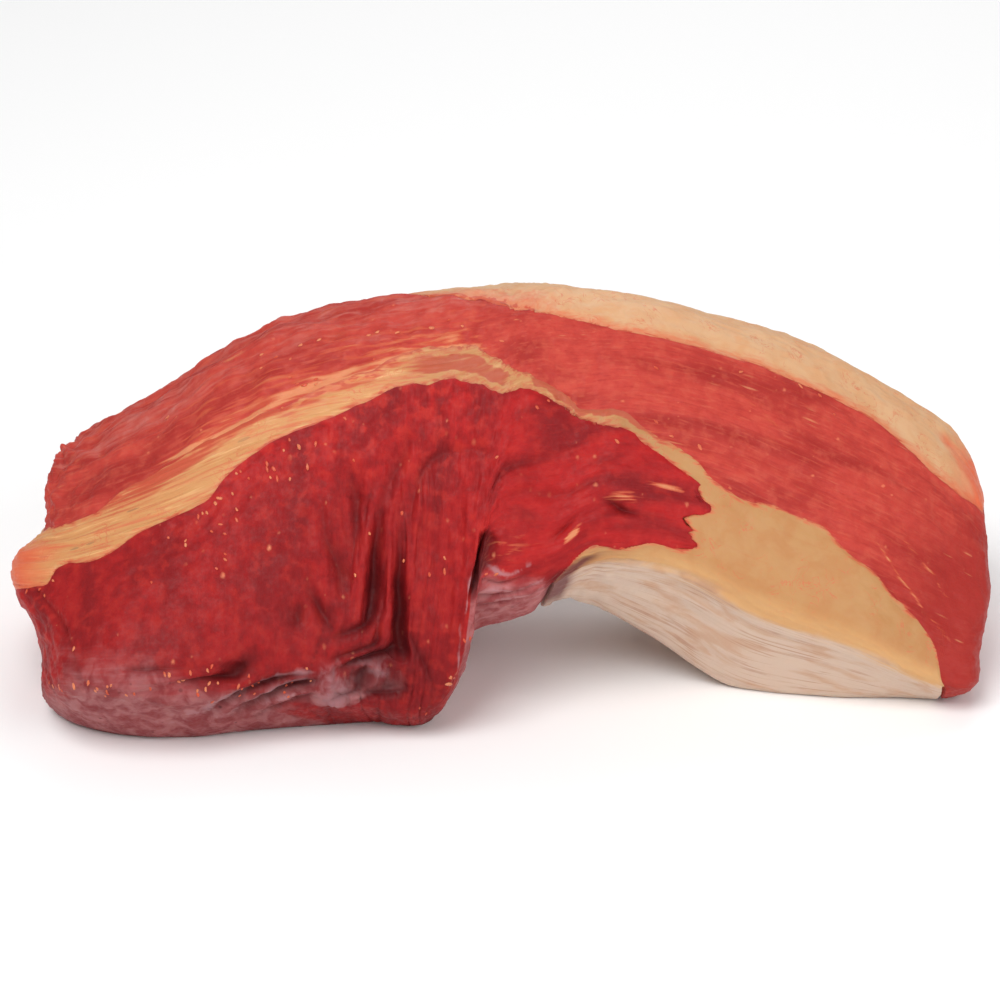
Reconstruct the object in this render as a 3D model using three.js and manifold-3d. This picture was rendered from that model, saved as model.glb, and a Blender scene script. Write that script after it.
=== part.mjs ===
// A boneless raw beef brisket joint, cut across the grain and bent into an arch that stands on its ends.
// Millimetres, +Z up, +X along the arch, the big cut face towards -Y, the origin under the joint's middle.
//
// Every layer is a box bent by one formula. Its three coordinates run from 0 to 1:
//   s along the arch, from the left foot to the right foot,
//   r through the joint, from its outer side to the side that faces the floor,
//   w from the cut face in front to the cut face behind.
import * as THREE from "three";
import { mergeVertices } from "three/addons/utils/BufferGeometryUtils.js";
import Module from "manifold-3d";

const wasm = await Module();
wasm.setup();

// The front cut face, at even steps of s: its outer edge, the inner side below it, and how far the
// face's lower edge is lifted off that inner side by the rounded belly.
const STATIONS = [
  { outer: [-130, 68, 57], inner: [-132, 0, -3], lift: 16 },
  { outer: [-125, 62, 64], inner: [-112, -17, -3], lift: 24 },
  { outer: [-98, 56, 81.5], inner: [-88, -21, -3], lift: 24 },
  { outer: [-67, 52, 101], inner: [-63, -12, -3], lift: 17 },
  { outer: [-37, 50, 110], inner: [-38, -7, -3], lift: 13 },
  { outer: [-14, 50, 114], inner: [-21, -4, -3], lift: 8 },
  { outer: [0, 52, 114], inner: [-11, -2, 11], lift: 12 },
  { outer: [11, 54, 113.5], inner: [-11, 5, 19], lift: 18 },
  { outer: [24, 56, 112], inner: [6, 9, 25], lift: 13 },
  { outer: [41, 58, 109.5], inner: [22, 12, 29], lift: 18 },
  { outer: [64, 62, 102], inner: [44, 16, 15], lift: 28 },
  { outer: [88, 66, 92], inner: [67, 14, 0], lift: 31 },
  { outer: [110, 70, 79], inner: [96, 10, -3], lift: 25 },
  { outer: [132, 74, 64], inner: [118, 12, -3], lift: 13 },
  { outer: [140, 76, 51], inner: [140, 11, -2], lift: 5 },
];

// Form, mm where it is a length and a share of the joint where it is not.
const ARCH_LENGTH = 290;
const MEAN_THICKNESS = 84;
const EDGE_POWER = 7;
const END_ZONE = 0.11;
const BELLY_REACH = 0.27;
const FACE_BULGE = 9;
const FOOT_BULGE = 4;
const BACK_Y = 92;
const BACK_LEAN = 0.16;
const BACK_DROP = 0.22;
const BACK_WAVE = 1.6;
const TOP_WAVE = 0.8;

// How far each end stands out along X, at even steps of r. The left end has the tip of soft fat.
const LEFT_END = [-1, -3, -2, -10, -9, -3, 0, 0, 0];
const RIGHT_END = [2, 3, 3, 3, 3, 1, -1, -1, -4];

// Layers. Each line is a row of [s, r] points, smoothed between them.
const LAYER_GAP = 0.4;
const SEAM_TOP = [
  [0, 0.24], [0.095, 0.25], [0.12, 0.215], [0.2, 0.175], [0.229, 0.17], [0.26, 0.14], [0.317, 0.095],
  [0.385, 0.095], [0.42, 0.135], [0.49, 0.2], [0.566, 0.28], [0.59, 0.328], [0.637, 0.35], [0.664, 0.41],
  [0.708, 0.49], [0.745, 0.56], [0.8, 0.535], [0.848, 0.6], [0.875, 0.66], [0.9, 0.7], [0.932, 0.79],
  [0.948, 0.93], [0.965, 1],
];
const LEAN_TOP = [
  [0, 0.5], [0.05, 0.47], [0.062, 0.41], [0.1, 0.415], [0.13, 0.362], [0.175, 0.345], [0.188, 0.305],
  [0.22, 0.25], [0.252, 0.228], [0.31, 0.175], [0.36, 0.17], [0.393, 0.188], [0.445, 0.242], [0.528, 0.275],
  [0.586, 0.345], [0.61, 0.385], [0.65, 0.428], [0.673, 0.485], [0.709, 0.565], [0.722, 0.64],
];
const TONGUE_BOTTOM = [
  [0.585, 1], [0.603, 0.95], [0.632, 0.865], [0.66, 0.89], [0.685, 0.85], [0.705, 0.855], [0.722, 0.83],
];
const TONGUE_START = 0.585;
const TONGUE_END = 0.722;
const SEAM_END = 0.95;
const SEAM_OVERLAP = 0.04;
const LAYER_DIP = 0.06;
const DIP_FADE = [0.5, 0.7];

// The fat cap lies over the joint's outer side. Its front edge runs back over the top towards the left.
const CAP_START = 0.06;
const CAP_DEPTH = [
  [0, 0.06], [0.4, 0.065], [0.6, 0.085], [0.858, 0.108], [0.9, 0.165], [0.95, 0.19], [1, 0.16],
];
const CAP_EDGE = [
  [0, 0.66], [0.12, 0.55], [0.25, 0.42], [0.33, 0.27], [0.4, 0.14], [0.49, 0], [0.63, -0.3], [1, -0.5],
];
const CAP_FEATHER = 0.26;
const CAP_EDGE_DEPTH = 0.018;
const CAP_EDGE_LEAST = 0.03;

// Folds in the lower lean's cut face: the line that each one follows, its depth and its half width in mm.
const FOLDS = [
  { path: [[0.362, 0.328], [0.33, 0.39], [0.316, 0.49], [0.315, 0.59], [0.322, 0.8]], depth: 5, width: 3.4 },
  { path: [[0.319, 0.305], [0.298, 0.44], [0.297, 0.535], [0.295, 0.695]], depth: 4.5, width: 3.2 },
  { path: [[0.362, 0.328], [0.391, 0.343], [0.43, 0.39], [0.473, 0.43]], depth: 2.5, width: 3 },
  { path: [[0.343, 0.43], [0.343, 0.475], [0.34, 0.53]], depth: 2.2, width: 3 },
  { path: [[0.273, 0.36], [0.276, 0.473], [0.268, 0.6]], depth: 2, width: 3 },
  { path: [[0.238, 0.87], [0.222, 0.95], [0.196, 1]], depth: 3.5, width: 3.5 },
  { path: [[0.187, 0.86], [0.17, 0.92], [0.13, 0.95]], depth: 2.5, width: 3.5 },
  { path: [[0.279, 0.9], [0.3, 0.915], [0.33, 0.9]], depth: 6, width: 6 },
  { path: [[0.425, 0.56], [0.428, 0.65], [0.424, 0.75], [0.428, 0.9]], depth: 10, width: 4.5 },
];
const FOLD_REACH = 0.3;

// Mesh steps of each layer, along s, r and w.
const CAP_STEPS = [36, 2, 7];
const UPPER_STEPS = [48, 4, 7];
const SEAM_STEPS = [42, 3, 7];
const LOWER_STEPS = [60, 13, 7];
const END_BUNCHING = 0.6;

// How far a cutter reaches past the joint's own skin, as a share of the joint.
const CUTTER_MARGIN = 0.05;

const FAT_COLOUR = 0xd9b078;
const CAP_COLOUR = 0xe6c49a;
const UPPER_COLOUR = 0xb84640;
const LOWER_COLOUR = 0xa62a28;

const { lerp, clamp, smoothstep } = THREE.MathUtils;
const gapShare = LAYER_GAP / MEAN_THICKNESS;
const gapAlong = LAYER_GAP / ARCH_LENGTH;

// A curve through evenly spaced values, as a function that runs on straight past both ends.
function evenCurve(values) {
  const points = values.map((value) => new THREE.Vector3(...[value].flat()));
  const curve = new THREE.CatmullRomCurve3(points, false, "catmullrom", 0.5);
  const step = 1e-3;
  return (t) => {
    const held = clamp(t, 0, 1);
    const point = curve.getPoint(held);
    if (held === t) return point;
    const back = curve.getPoint(Math.abs(held - step));
    return point.addScaledVector(back.sub(point), -Math.abs(t - held) / step);
  };
}

const outerEdge = evenCurve(STATIONS.map((station) => station.outer));
const innerEdge = evenCurve(STATIONS.map((station) => station.inner));
const bellyLift = evenCurve(STATIONS.map((station) => [station.lift, 0, 0]));
const leftEnd = evenCurve(LEFT_END.map((value) => [value, 0, 0]));
const rightEnd = evenCurve(RIGHT_END.map((value) => [value, 0, 0]));

// A smooth curve through [position, value] pairs that lie at any spacing, level past both ends.
function line(pairs) {
  const last = pairs.length - 1;
  const slope = (i) => {
    const before = pairs[Math.max(i - 1, 0)];
    const after = pairs[Math.min(i + 1, last)];
    return (after[1] - before[1]) / (after[0] - before[0]);
  };
  return (position) => {
    const t = clamp(position, pairs[0][0], pairs[last][0]);
    let i = 0;
    while (i < last - 1 && pairs[i + 1][0] <= t) i += 1;
    const [start, from] = pairs[i];
    const [end, to] = pairs[i + 1];
    const length = end - start;
    const f = (t - start) / length;
    const ease = f * f * (3 - 2 * f);
    const leave = f * (1 - f) ** 2 * length * slope(i);
    const arrive = f * f * (f - 1) * length * slope(i + 1);
    return from + (to - from) * ease + leave + arrive;
  };
}

// The layers on the left lie a little deeper towards the back.
function dipping(pairs) {
  const front = line(pairs);
  return (s, w) => front(s) + LAYER_DIP * clamp(w, 0, 1) * (1 - smoothstep(s, ...DIP_FADE));
}

const seamTop = dipping(SEAM_TOP);
const leanTop = dipping(LEAN_TOP);
const tongueBottom = line(TONGUE_BOTTOM);
const capDepth = line(CAP_DEPTH);
const capEdge = line(CAP_EDGE);

// Distance in mm, along the cut face, from the point at s and r to a fold's line.
function distanceToPath(path, s, r) {
  let nearest = Infinity;
  for (let i = 0; i + 1 < path.length; i += 1) {
    const ax = path[i][0] * ARCH_LENGTH;
    const ay = path[i][1] * MEAN_THICKNESS;
    const dx = path[i + 1][0] * ARCH_LENGTH - ax;
    const dy = path[i + 1][1] * MEAN_THICKNESS - ay;
    const px = s * ARCH_LENGTH - ax;
    const py = r * MEAN_THICKNESS - ay;
    const f = clamp((px * dx + py * dy) / (dx * dx + dy * dy), 0, 1);
    nearest = Math.min(nearest, Math.hypot(px - f * dx, py - f * dy));
  }
  return nearest;
}

// How deep the folds press the front face in, in mm.
function foldRelief(s, r, w) {
  let depth = 0;
  for (const fold of FOLDS) {
    const share = distanceToPath(fold.path, s, r) / fold.width;
    depth = Math.max(depth, fold.depth * Math.exp(-share * share));
  }
  return depth * (1 - smoothstep(w, 0, FOLD_REACH));
}

// Pulls the box's edges and ends in to a rounded block, so that nothing on the joint is sharp.
function roundOff(s, r, w) {
  const a = 2 * r - 1;
  const b = 2 * w - 1;
  const c = Math.max(1 - s / END_ZONE, 0) + Math.max(1 - (1 - s) / END_ZONE, 0);
  const reach = Math.max(Math.abs(a), Math.abs(b), c);
  const sum = Math.abs(a) ** EDGE_POWER + Math.abs(b) ** EDGE_POWER + c ** EDGE_POWER;
  const k = sum > 0 ? reach / sum ** (1 / EDGE_POWER) : 1;
  const inward = END_ZONE * c * (1 - k) * (s < 0.5 ? 1 : -1);
  return [s + inward, (a * k + 1) / 2, (b * k + 1) / 2];
}

// The point of the joint at s, r and w. A cutter leaves out the floor.
function place(boxS, boxR, boxW, onFloor = true) {
  const [s, r, w] = roundOff(boxS, boxR, boxW);
  const outer = outerEdge(s);
  const inner = innerEdge(s);
  const thickness = Math.hypot(outer.x - inner.x, outer.z - inner.z);
  const lift = (bellyLift(s).x / thickness) * (1 - smoothstep(w, 0, BELLY_REACH));
  const across = r * (1 - lift);
  const held = clamp(r, 0, 1);
  let x = lerp(outer.x, inner.x, across);
  x += leftEnd(held).x * (1 - smoothstep(s, 0, 0.08));
  x += rightEnd(held).x * smoothstep(s, 0.93, 1);
  let z = lerp(outer.z, inner.z, across);
  const bulge = FACE_BULGE * Math.sin(Math.PI * held) ** 0.8 + FOOT_BULGE * smoothstep(held, 0.4, 1);
  const front = lerp(outer.y, inner.y, held ** 0.9) - bulge;
  const wave = BACK_WAVE * Math.sin(19 * s + 5 * held) * Math.sin(Math.PI * held);
  const back = BACK_Y + BACK_LEAN * z + wave;
  const y = lerp(front, back, w) + foldRelief(s, r, w);
  z += TOP_WAVE * Math.sin(23 * s + 7 * w) * (1 - held) * smoothstep(w, 0, 0.3);
  z *= 1 - BACK_DROP * Math.max(w, 0) ** 1.5 * smoothstep(z, 0, 60);
  return new THREE.Vector3(x, y, onFloor ? Math.max(z, 0) : z);
}

// Bunches the mesh steps towards both ends of a side, where the edges are rounded.
function bunched(t) {
  if (t < 0 || t > 1) return t;
  return t - (END_BUNCHING * Math.sin(2 * Math.PI * t)) / (2 * Math.PI);
}

// A layer: a box cut into steps, each corner sent through the layer's own limits to s, r and w.
// A cutter has the same steps and one more on every side, where the limits get -1 or 2.
function layer(steps, limits, isCutter = false) {
  const rim = isCutter ? 1 : 0;
  const counts = steps.map((count) => count + 2 * rim);
  const share = (value, axis) => {
    const step = Math.round((value + 0.5) * counts[axis]) - rim;
    if (step < 0) return -1;
    if (step > steps[axis]) return 2;
    return step / steps[axis];
  };
  const box = new THREE.BoxGeometry(1, 1, 1, ...counts);
  box.deleteAttribute("normal");
  box.deleteAttribute("uv");
  const geometry = mergeVertices(box, 1e-4);
  const position = geometry.getAttribute("position");
  for (let i = 0; i < position.count; i += 1) {
    const t = share(position.getX(i), 0);
    const across = bunched(share(position.getY(i), 1));
    const back = bunched(share(position.getZ(i), 2));
    const point = place(...limits(t, across, back), !isCutter);
    position.setXYZ(i, point.x, point.y, point.z);
  }
  return geometry;
}

// From low to high as t goes from 0 to 1, and beyond them by the two margins outside that.
function stretch(t, low, high, before, after) {
  if (t < 0) return low - before;
  if (t > 1) return high + after;
  return lerp(low, high, t);
}

function solidOf(geometry) {
  const vertProperties = new Float32Array(geometry.getAttribute("position").array);
  const triVerts = new Uint32Array(geometry.index.array);
  return new wasm.Manifold(new wasm.Mesh({ numProp: 3, vertProperties, triVerts }));
}

function geometryOf(solid) {
  const mesh = solid.getMesh();
  const geometry = new THREE.BufferGeometry();
  geometry.setAttribute("position", new THREE.BufferAttribute(mesh.vertProperties, 3));
  geometry.setIndex(new THREE.BufferAttribute(mesh.triVerts, 1));
  return geometry;
}

// What is left of one layer once its neighbours, each drawn a gap larger, are cut out of it.
function cutFrom(geometry, cutters) {
  const rest = cutters.reduce((solid, cutter) => solid.subtract(solidOf(cutter)), solidOf(geometry));
  return geometryOf(rest);
}

// Thickness of the fat cap as a share of r: thin at its front edge, full a short way behind it.
function capLimit(s, w) {
  const body = smoothstep(w - capEdge(s), 0, CAP_FEATHER);
  return lerp(CAP_EDGE_DEPTH, capDepth(s), body);
}

function capGeometry(isCutter = false) {
  return layer(
    CAP_STEPS,
    (t, across, back) => {
      const s = stretch(t, CAP_START, 1, gapAlong, CUTTER_MARGIN);
      const edge = capEdge(s) > CAP_EDGE_LEAST ? capEdge(s) : 0;
      const w = stretch(back, edge, 1, edge > 0 ? 2 * gapShare : CUTTER_MARGIN, CUTTER_MARGIN);
      return [s, stretch(across, 0, capLimit(s, clamp(w, 0, 1)), CUTTER_MARGIN, gapShare), w];
    },
    isCutter,
  );
}

function upperLeanGeometry(isCutter = false) {
  return layer(
    UPPER_STEPS,
    (t, across, back) => {
      const s = stretch(t, 0, 1, CUTTER_MARGIN, CUTTER_MARGIN);
      const w = stretch(back, 0, 1, CUTTER_MARGIN, CUTTER_MARGIN);
      return [s, stretch(across, 0, seamTop(s, w), CUTTER_MARGIN, gapShare), w];
    },
    isCutter,
  );
}

// The fat seam between the two leans, which widens on the right into the big wedge of fat.
// It starts inside the upper lean and ends inside the lower one, and is cut back to both.
function seamGeometry() {
  return layer(SEAM_STEPS, (t, across, back) => {
    const s = t * SEAM_END;
    const top = Math.max(seamTop(s, back) - SEAM_OVERLAP, 0);
    const overLean = Math.min(leanTop(s, back) + SEAM_OVERLAP, 1);
    const bottom = lerp(overLean, 1, smoothstep(s, 0.5, TONGUE_START));
    return [s, lerp(top, bottom, across), back];
  });
}

// The lower lean, with the tongue that runs into the fat on the right.
function lowerLeanGeometry(isCutter = false) {
  return layer(
    LOWER_STEPS,
    (t, across, back) => {
      const s = stretch(t, 0, TONGUE_END, CUTTER_MARGIN, gapAlong);
      const w = stretch(back, 0, 1, CUTTER_MARGIN, CUTTER_MARGIN);
      const below = s < TONGUE_START ? CUTTER_MARGIN : gapShare;
      return [s, stretch(across, leanTop(s, w), tongueBottom(s), gapShare, below), w];
    },
    isCutter,
  );
}

function addLayer(group, name, geometry, color, roughness) {
  const material = new THREE.MeshStandardMaterial({ color, roughness, metalness: 0 });
  const mesh = new THREE.Mesh(geometry, material);
  mesh.name = name;
  group.add(mesh);
}

const brisket = new THREE.Group();
const upperLean = cutFrom(upperLeanGeometry(), [capGeometry(true)]);
const fatSeam = cutFrom(seamGeometry(), [upperLeanGeometry(true), lowerLeanGeometry(true)]);
addLayer(brisket, "fat_cap", capGeometry(), CAP_COLOUR, 0.55);
addLayer(brisket, "upper_lean", upperLean, UPPER_COLOUR, 0.4);
addLayer(brisket, "fat_seam", fatSeam, FAT_COLOUR, 0.5);
addLayer(brisket, "lower_lean", lowerLeanGeometry(), LOWER_COLOUR, 0.4);

// The origin goes under the middle of the joint, on the surface that it stands on.
const bounds = new THREE.Box3().setFromObject(brisket);
const middle = bounds.getCenter(new THREE.Vector3());
brisket.position.set(-middle.x, -middle.y, -bounds.min.z);

export default brisket;
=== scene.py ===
"""A boneless raw beef brisket joint, cut across and bent into an arch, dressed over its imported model.

Every layer of the joint is one surface worked out from the same formula. Its three coordinates run
from 0 to 1: s along the arch from the left foot to the right one, r through the joint from its outer
side to the side that faces the floor, and w from the cut face in front to the one behind. Lengths are
in millimetres until a mesh is made, which is in metres.
"""

import logging
import math
from dataclasses import dataclass, field
from enum import Enum
from functools import reduce

import bpy
import numpy as np
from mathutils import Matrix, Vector


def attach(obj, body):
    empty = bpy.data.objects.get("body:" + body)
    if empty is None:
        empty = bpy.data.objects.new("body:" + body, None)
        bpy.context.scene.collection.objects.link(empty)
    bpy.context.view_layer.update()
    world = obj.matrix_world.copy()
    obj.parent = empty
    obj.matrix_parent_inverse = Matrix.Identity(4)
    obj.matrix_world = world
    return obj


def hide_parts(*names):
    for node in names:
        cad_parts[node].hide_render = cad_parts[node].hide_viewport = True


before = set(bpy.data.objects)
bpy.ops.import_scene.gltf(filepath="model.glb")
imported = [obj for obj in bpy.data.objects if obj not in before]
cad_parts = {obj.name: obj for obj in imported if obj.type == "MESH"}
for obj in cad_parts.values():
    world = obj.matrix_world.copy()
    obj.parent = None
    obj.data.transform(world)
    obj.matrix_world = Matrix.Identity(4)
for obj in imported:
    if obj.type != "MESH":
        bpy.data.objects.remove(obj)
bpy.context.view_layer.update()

log = logging.getLogger("brisket")

METRES = 0.001
SEED = 7
WATER_IOR = 1.34

Array = np.ndarray
Pairs = tuple[tuple[float, float], ...]
Socket = bpy.types.NodeSocket


class Side(Enum):
    """The four sides of a layer that its cross-section runs round, in that order."""

    FRONT = 0
    UNDER = 1
    BACK = 2
    OVER = 3


def smooth(low: float, high: float, value: Array) -> Array:
    """Eases from 0 at low to 1 at high: 3t^2 - 2t^3, with t the share of the way from low to high."""
    t = np.clip((value - low) / (high - low), 0.0, 1.0)
    return t * t * (3.0 - 2.0 * t)


def even_curve(values: Array, t: Array) -> Array:
    """Follows a Catmull-Rom curve through evenly spaced values.

    Args:
        values: the values, one row each.
        t: where to read the curve, from 0 at the first value to 1 at the last.

    Returns:
        The curve's values: a cubic between two neighbours whose slope at each is half the step from
        the value before it to the one after it.
    """
    values = np.asarray(values, float)
    last = len(values) - 1
    before = 2.0 * values[:1] - values[1:2]
    after = 2.0 * values[-1:] - values[-2:-1]
    padded = np.concatenate([before, values, after])
    place = np.clip(t, 0.0, 1.0) * last
    index = np.clip(np.floor(place).astype(int), 0, last - 1)
    f = place - index
    if values.ndim == 2:
        f = f[..., None]
    p0, p1, p2, p3 = (padded[index + step] for step in range(4))
    leave = (p2 - p0) * 0.5
    arrive = (p3 - p1) * 0.5
    cubic = 2.0 * p1 - 2.0 * p2 + leave + arrive
    square = 3.0 * p2 - 3.0 * p1 - 2.0 * leave - arrive
    return ((cubic * f + square) * f + leave) * f + p1


def line(pairs: Pairs, t: Array) -> Array:
    """Follows a smooth line through (position, value) pairs at any spacing, level past both ends.

    Args:
        pairs: the points of the line.
        t: the positions to read.

    Returns:
        The values: a cubic between two points whose slope at each is that of the chord between its
        neighbours.
    """
    at = np.array([pair[0] for pair in pairs])
    value = np.array([pair[1] for pair in pairs])
    slope = np.empty_like(value)
    slope[1:-1] = (value[2:] - value[:-2]) / (at[2:] - at[:-2])
    slope[0] = (value[1] - value[0]) / (at[1] - at[0])
    slope[-1] = (value[-1] - value[-2]) / (at[-1] - at[-2])
    t = np.clip(t, at[0], at[-1])
    i = np.clip(np.searchsorted(at, t, side="right") - 1, 0, len(at) - 2)
    length = at[i + 1] - at[i]
    f = (t - at[i]) / length
    ease = f * f * (3.0 - 2.0 * f)
    bend = f * (1.0 - f) ** 2 * length * slope[i] + f * f * (f - 1.0) * length * slope[i + 1]
    return value[i] + (value[i + 1] - value[i]) * ease + bend


def lattice(points: Array, seed: int) -> Array:
    """Draws smooth random values in space.

    Args:
        points: the places to read, with x, y and z last.
        seed: which of the random fields to read.

    Returns:
        Values from -1 to 1: each whole-number corner has a value from a whole-number hash of its
        place, and a point gets the eased mean of the eight corners round it.
    """
    corner = np.floor(points).astype(np.int64)
    f = points - corner
    f = f * f * (3.0 - 2.0 * f)
    total = np.zeros(points.shape[:-1])
    for number in range(8):
        step = np.array([(number >> axis) & 1 for axis in range(3)])
        cell = corner + step
        mixed = cell[..., 0] * 73856093 ^ cell[..., 1] * 19349663 ^ cell[..., 2] * 83492791
        mixed = (mixed ^ (seed * 668265263)) & 0x7FFFFFFF
        mixed = ((mixed ^ (mixed >> 15)) * 2246822519) & 0x7FFFFFFF
        mixed = ((mixed ^ (mixed >> 13)) * 3266489917) & 0x7FFFFFFF
        weight = np.prod(np.where(step, f, 1.0 - f), axis=-1)
        total += weight * ((mixed >> 8) & 0xFFFF) / 65535.0
    return 2.0 * total - 1.0


def rough(points: Array, seed: int, octaves: int = 3) -> Array:
    """Adds finer and weaker random fields to a broad one.

    Args:
        points: the places to read, with x, y and z last.
        seed: which of the random fields to read.
        octaves: how many fields are added.

    Returns:
        The sum, each field twice as fine and half as strong as the one before it.
    """
    total = np.zeros(points.shape[:-1])
    for octave in range(octaves):
        total += lattice(points * 2.0**octave, seed + 17 * octave) * 0.5**octave
    return total


def stretched(s: Array, r: Array, w: Array, along: float, across: float, deep: float) -> Array:
    """Turns places in mm into places in a random field whose blobs have the given sizes in mm."""
    return np.stack([s / along, r / across, w / deep], axis=-1)


@dataclass(frozen=True)
class Crease:
    """A crease in the cut face, drawn like a stroke.

    Each point of its path has s, r, the depth and the half width there in mm. How round its bottom
    is: 2 is a bell curve, and less is a sharper crease between rounder rolls.
    """

    path: tuple[tuple[float, float, float, float], ...]
    round: float = 1.25

    def depth(self, s: Array, r: Array) -> Array:
        """Measures how deep the crease is at each point of the cut face.

        Args:
            s: place along the arch.
            r: place through the joint.

        Returns:
            The depth in mm: that of the nearest point of a smooth curve through the path, times e
            to the minus power of the distance to it over the half width there.
        """
        points = even_curve(np.array(self.path), np.linspace(0.0, 1.0, 5 * len(self.path) - 4))
        points = points * np.array([FORM.length, FORM.thickness, 1.0, 1.0])
        along, across = s * FORM.length, r * FORM.thickness
        reach = 4.0 * points[:, 3].max()
        near = (along > points[:, 0].min() - reach) & (along < points[:, 0].max() + reach)
        near &= (across > points[:, 1].min() - reach) & (across < points[:, 1].max() + reach)
        x, y = along[near], across[near]
        deepest = np.zeros(x.shape)
        for start, stop in zip(points[:-1], points[1:]):
            step = stop - start
            f = ((x - start[0]) * step[0] + (y - start[1]) * step[1]) / (step[0] ** 2 + step[1] ** 2)
            f = np.clip(f, 0.0, 1.0)
            away = np.hypot(x - start[0] - f * step[0], y - start[1] - f * step[1])
            fall = np.exp(-((away / (start[3] + f * step[3])) ** self.round))
            deepest = np.maximum(deepest, (start[2] + f * step[2]) * fall)
        depth = np.zeros(s.shape)
        depth[near] = deepest
        return depth


@dataclass(frozen=True)
class ArchForm:
    """The bent block that every layer is a part of.

    Each station is one even step of s along the front cut face: x, y and z of the face's outer edge,
    then of the inner side below it, and the lift of the face's lower edge off that inner side.
    """

    stations: tuple[tuple[float, ...], ...] = (
        (-130, 68, 57, -132, 0, -3, 16),
        (-125, 62, 64, -112, -17, -3, 24),
        (-98, 56, 81.5, -88, -21, -3, 24),
        (-67, 52, 101, -63, -12, -3, 17),
        (-37, 50, 110, -38, -7, -3, 13),
        (-14, 50, 114, -21, -4, -3, 8),
        (0, 52, 114, -11, -2, 11, 12),
        (11, 54, 113.5, -11, 5, 19, 18),
        (24, 56, 112, 6, 9, 25, 13),
        (41, 58, 109.5, 22, 12, 29, 18),
        (64, 62, 102, 44, 16, 15, 28),
        (88, 66, 92, 67, 14, 0, 31),
        (110, 70, 79, 96, 10, -3, 25),
        (132, 74, 64, 118, 12, -3, 13),
        (140, 76, 51, 140, 11, -2, 5),
    )
    left_end: tuple[float, ...] = (-1, -3, -2, -10, -9, -3, 0, 0, 0)
    right_end: tuple[float, ...] = (2, 3, 3, 3, 3, 1, -1, -1, -4)
    end_ease: float = 0.75
    slump: float = 2.8
    slump_at: float = 0.1
    slump_reach: float = 0.07
    end_slump: float = 2.2
    end_slump_reach: float = 0.03
    length: float = 290.0
    thickness: float = 84.0
    depth: float = 100.0
    edge_power: float = 7.0
    end_zone: float = 0.11
    belly_reach: float = 0.27
    face_bulge: float = 9.0
    foot_bulge: float = 4.0
    back_y: float = 92.0
    back_lean: float = 0.16
    back_drop: float = 0.22
    back_wave: float = 1.6
    top_wave: float = 0.8

    def rounded(self, s: Array, r: Array, w: Array) -> tuple[Array, Array, Array]:
        """Pulls the block's edges and ends in.

        Args:
            s: place along the arch.
            r: place through the joint.
            w: place from front to back.

        Returns:
            The three places after each point is drawn towards the middle line, by its largest
            distance from that line over the high-power mean of all its distances.
        """
        a = 2.0 * r - 1.0
        b = 2.0 * w - 1.0
        c = np.maximum(1.0 - s / self.end_zone, 0.0)
        c = c + np.maximum(1.0 - (1.0 - s) / self.end_zone, 0.0)
        power = self.edge_power
        reach = np.maximum(np.maximum(np.abs(a), np.abs(b)), c)
        total = np.abs(a) ** power + np.abs(b) ** power + c**power
        k = reach / np.maximum(total, 1e-12) ** (1.0 / power)
        k = np.where(reach > 1e-3, k, 1.0)
        inward = self.end_zone * c * (1.0 - k) * np.where(s < 0.5, 1.0, -1.0)
        return s + inward, (a * k + 1.0) / 2.0, (b * k + 1.0) / 2.0

    def place(self, s: Array, r: Array, w: Array, relief: Array | float = 0.0) -> Array:
        """Finds the points of the joint.

        Args:
            s: place along the arch.
            r: place through the joint.
            w: place from front to back.
            relief: how far each point is pressed back from the front, in mm.

        Returns:
            Points in mm. Straight lines run from the outer edge to the inner side at each s, the
            front face swells between them, the belly turns under, the back face stands behind,
            the top sinks a little at the left, and nothing goes below the floor.
        """
        s, r, w = np.broadcast_arrays(np.asarray(s, float), r, w)
        s, r, w = self.rounded(s, r, w)
        rows = even_curve(np.array(self.stations, float), s)
        outer, inner, lift = rows[..., 0:3], rows[..., 3:6], rows[..., 6]
        span = np.hypot(outer[..., 0] - inner[..., 0], outer[..., 2] - inner[..., 2])
        across = r * (1.0 - lift / span * (1.0 - smooth(0.0, self.belly_reach, w)))
        x = outer[..., 0] + (inner[..., 0] - outer[..., 0]) * across
        ahead = 1.0 - self.end_ease * smooth(0.15, 0.7, w)
        x = x + even_curve(np.array(self.left_end, float), r) * (1.0 - smooth(0.0, 0.08, s)) * ahead
        x = x + even_curve(np.array(self.right_end, float), r) * smooth(0.93, 1.0, s)
        z = outer[..., 2] + (inner[..., 2] - outer[..., 2]) * across
        r = np.clip(r, 0.0, 1.0)
        swell = np.sin(np.pi * r)
        front = outer[..., 1] + (inner[..., 1] - outer[..., 1]) * r**0.9
        front = front - self.face_bulge * swell**0.8 - self.foot_bulge * smooth(0.4, 1.0, r)
        back = self.back_y + self.back_lean * z + self.back_wave * np.sin(19.0 * s + 5.0 * r) * swell
        y = front + (back - front) * w + relief
        z = z + self.top_wave * np.sin(23.0 * s + 7.0 * w) * (1.0 - r) * smooth(0.0, 0.3, w)
        sink = self.slump * np.exp(-(((s - self.slump_at) / self.slump_reach) ** 2))
        sink = sink + self.end_slump * np.exp(-((s / self.end_slump_reach) ** 2))
        z = z - sink * (1.0 - r) ** 3 * (1.0 - smooth(0.6, 1.0, w))
        z = z * (1.0 - self.back_drop * np.maximum(w, 0.0) ** 1.5 * smooth(0.0, 60.0, z))
        return np.stack([x, y, np.maximum(z, 0.0)], axis=-1)

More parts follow.
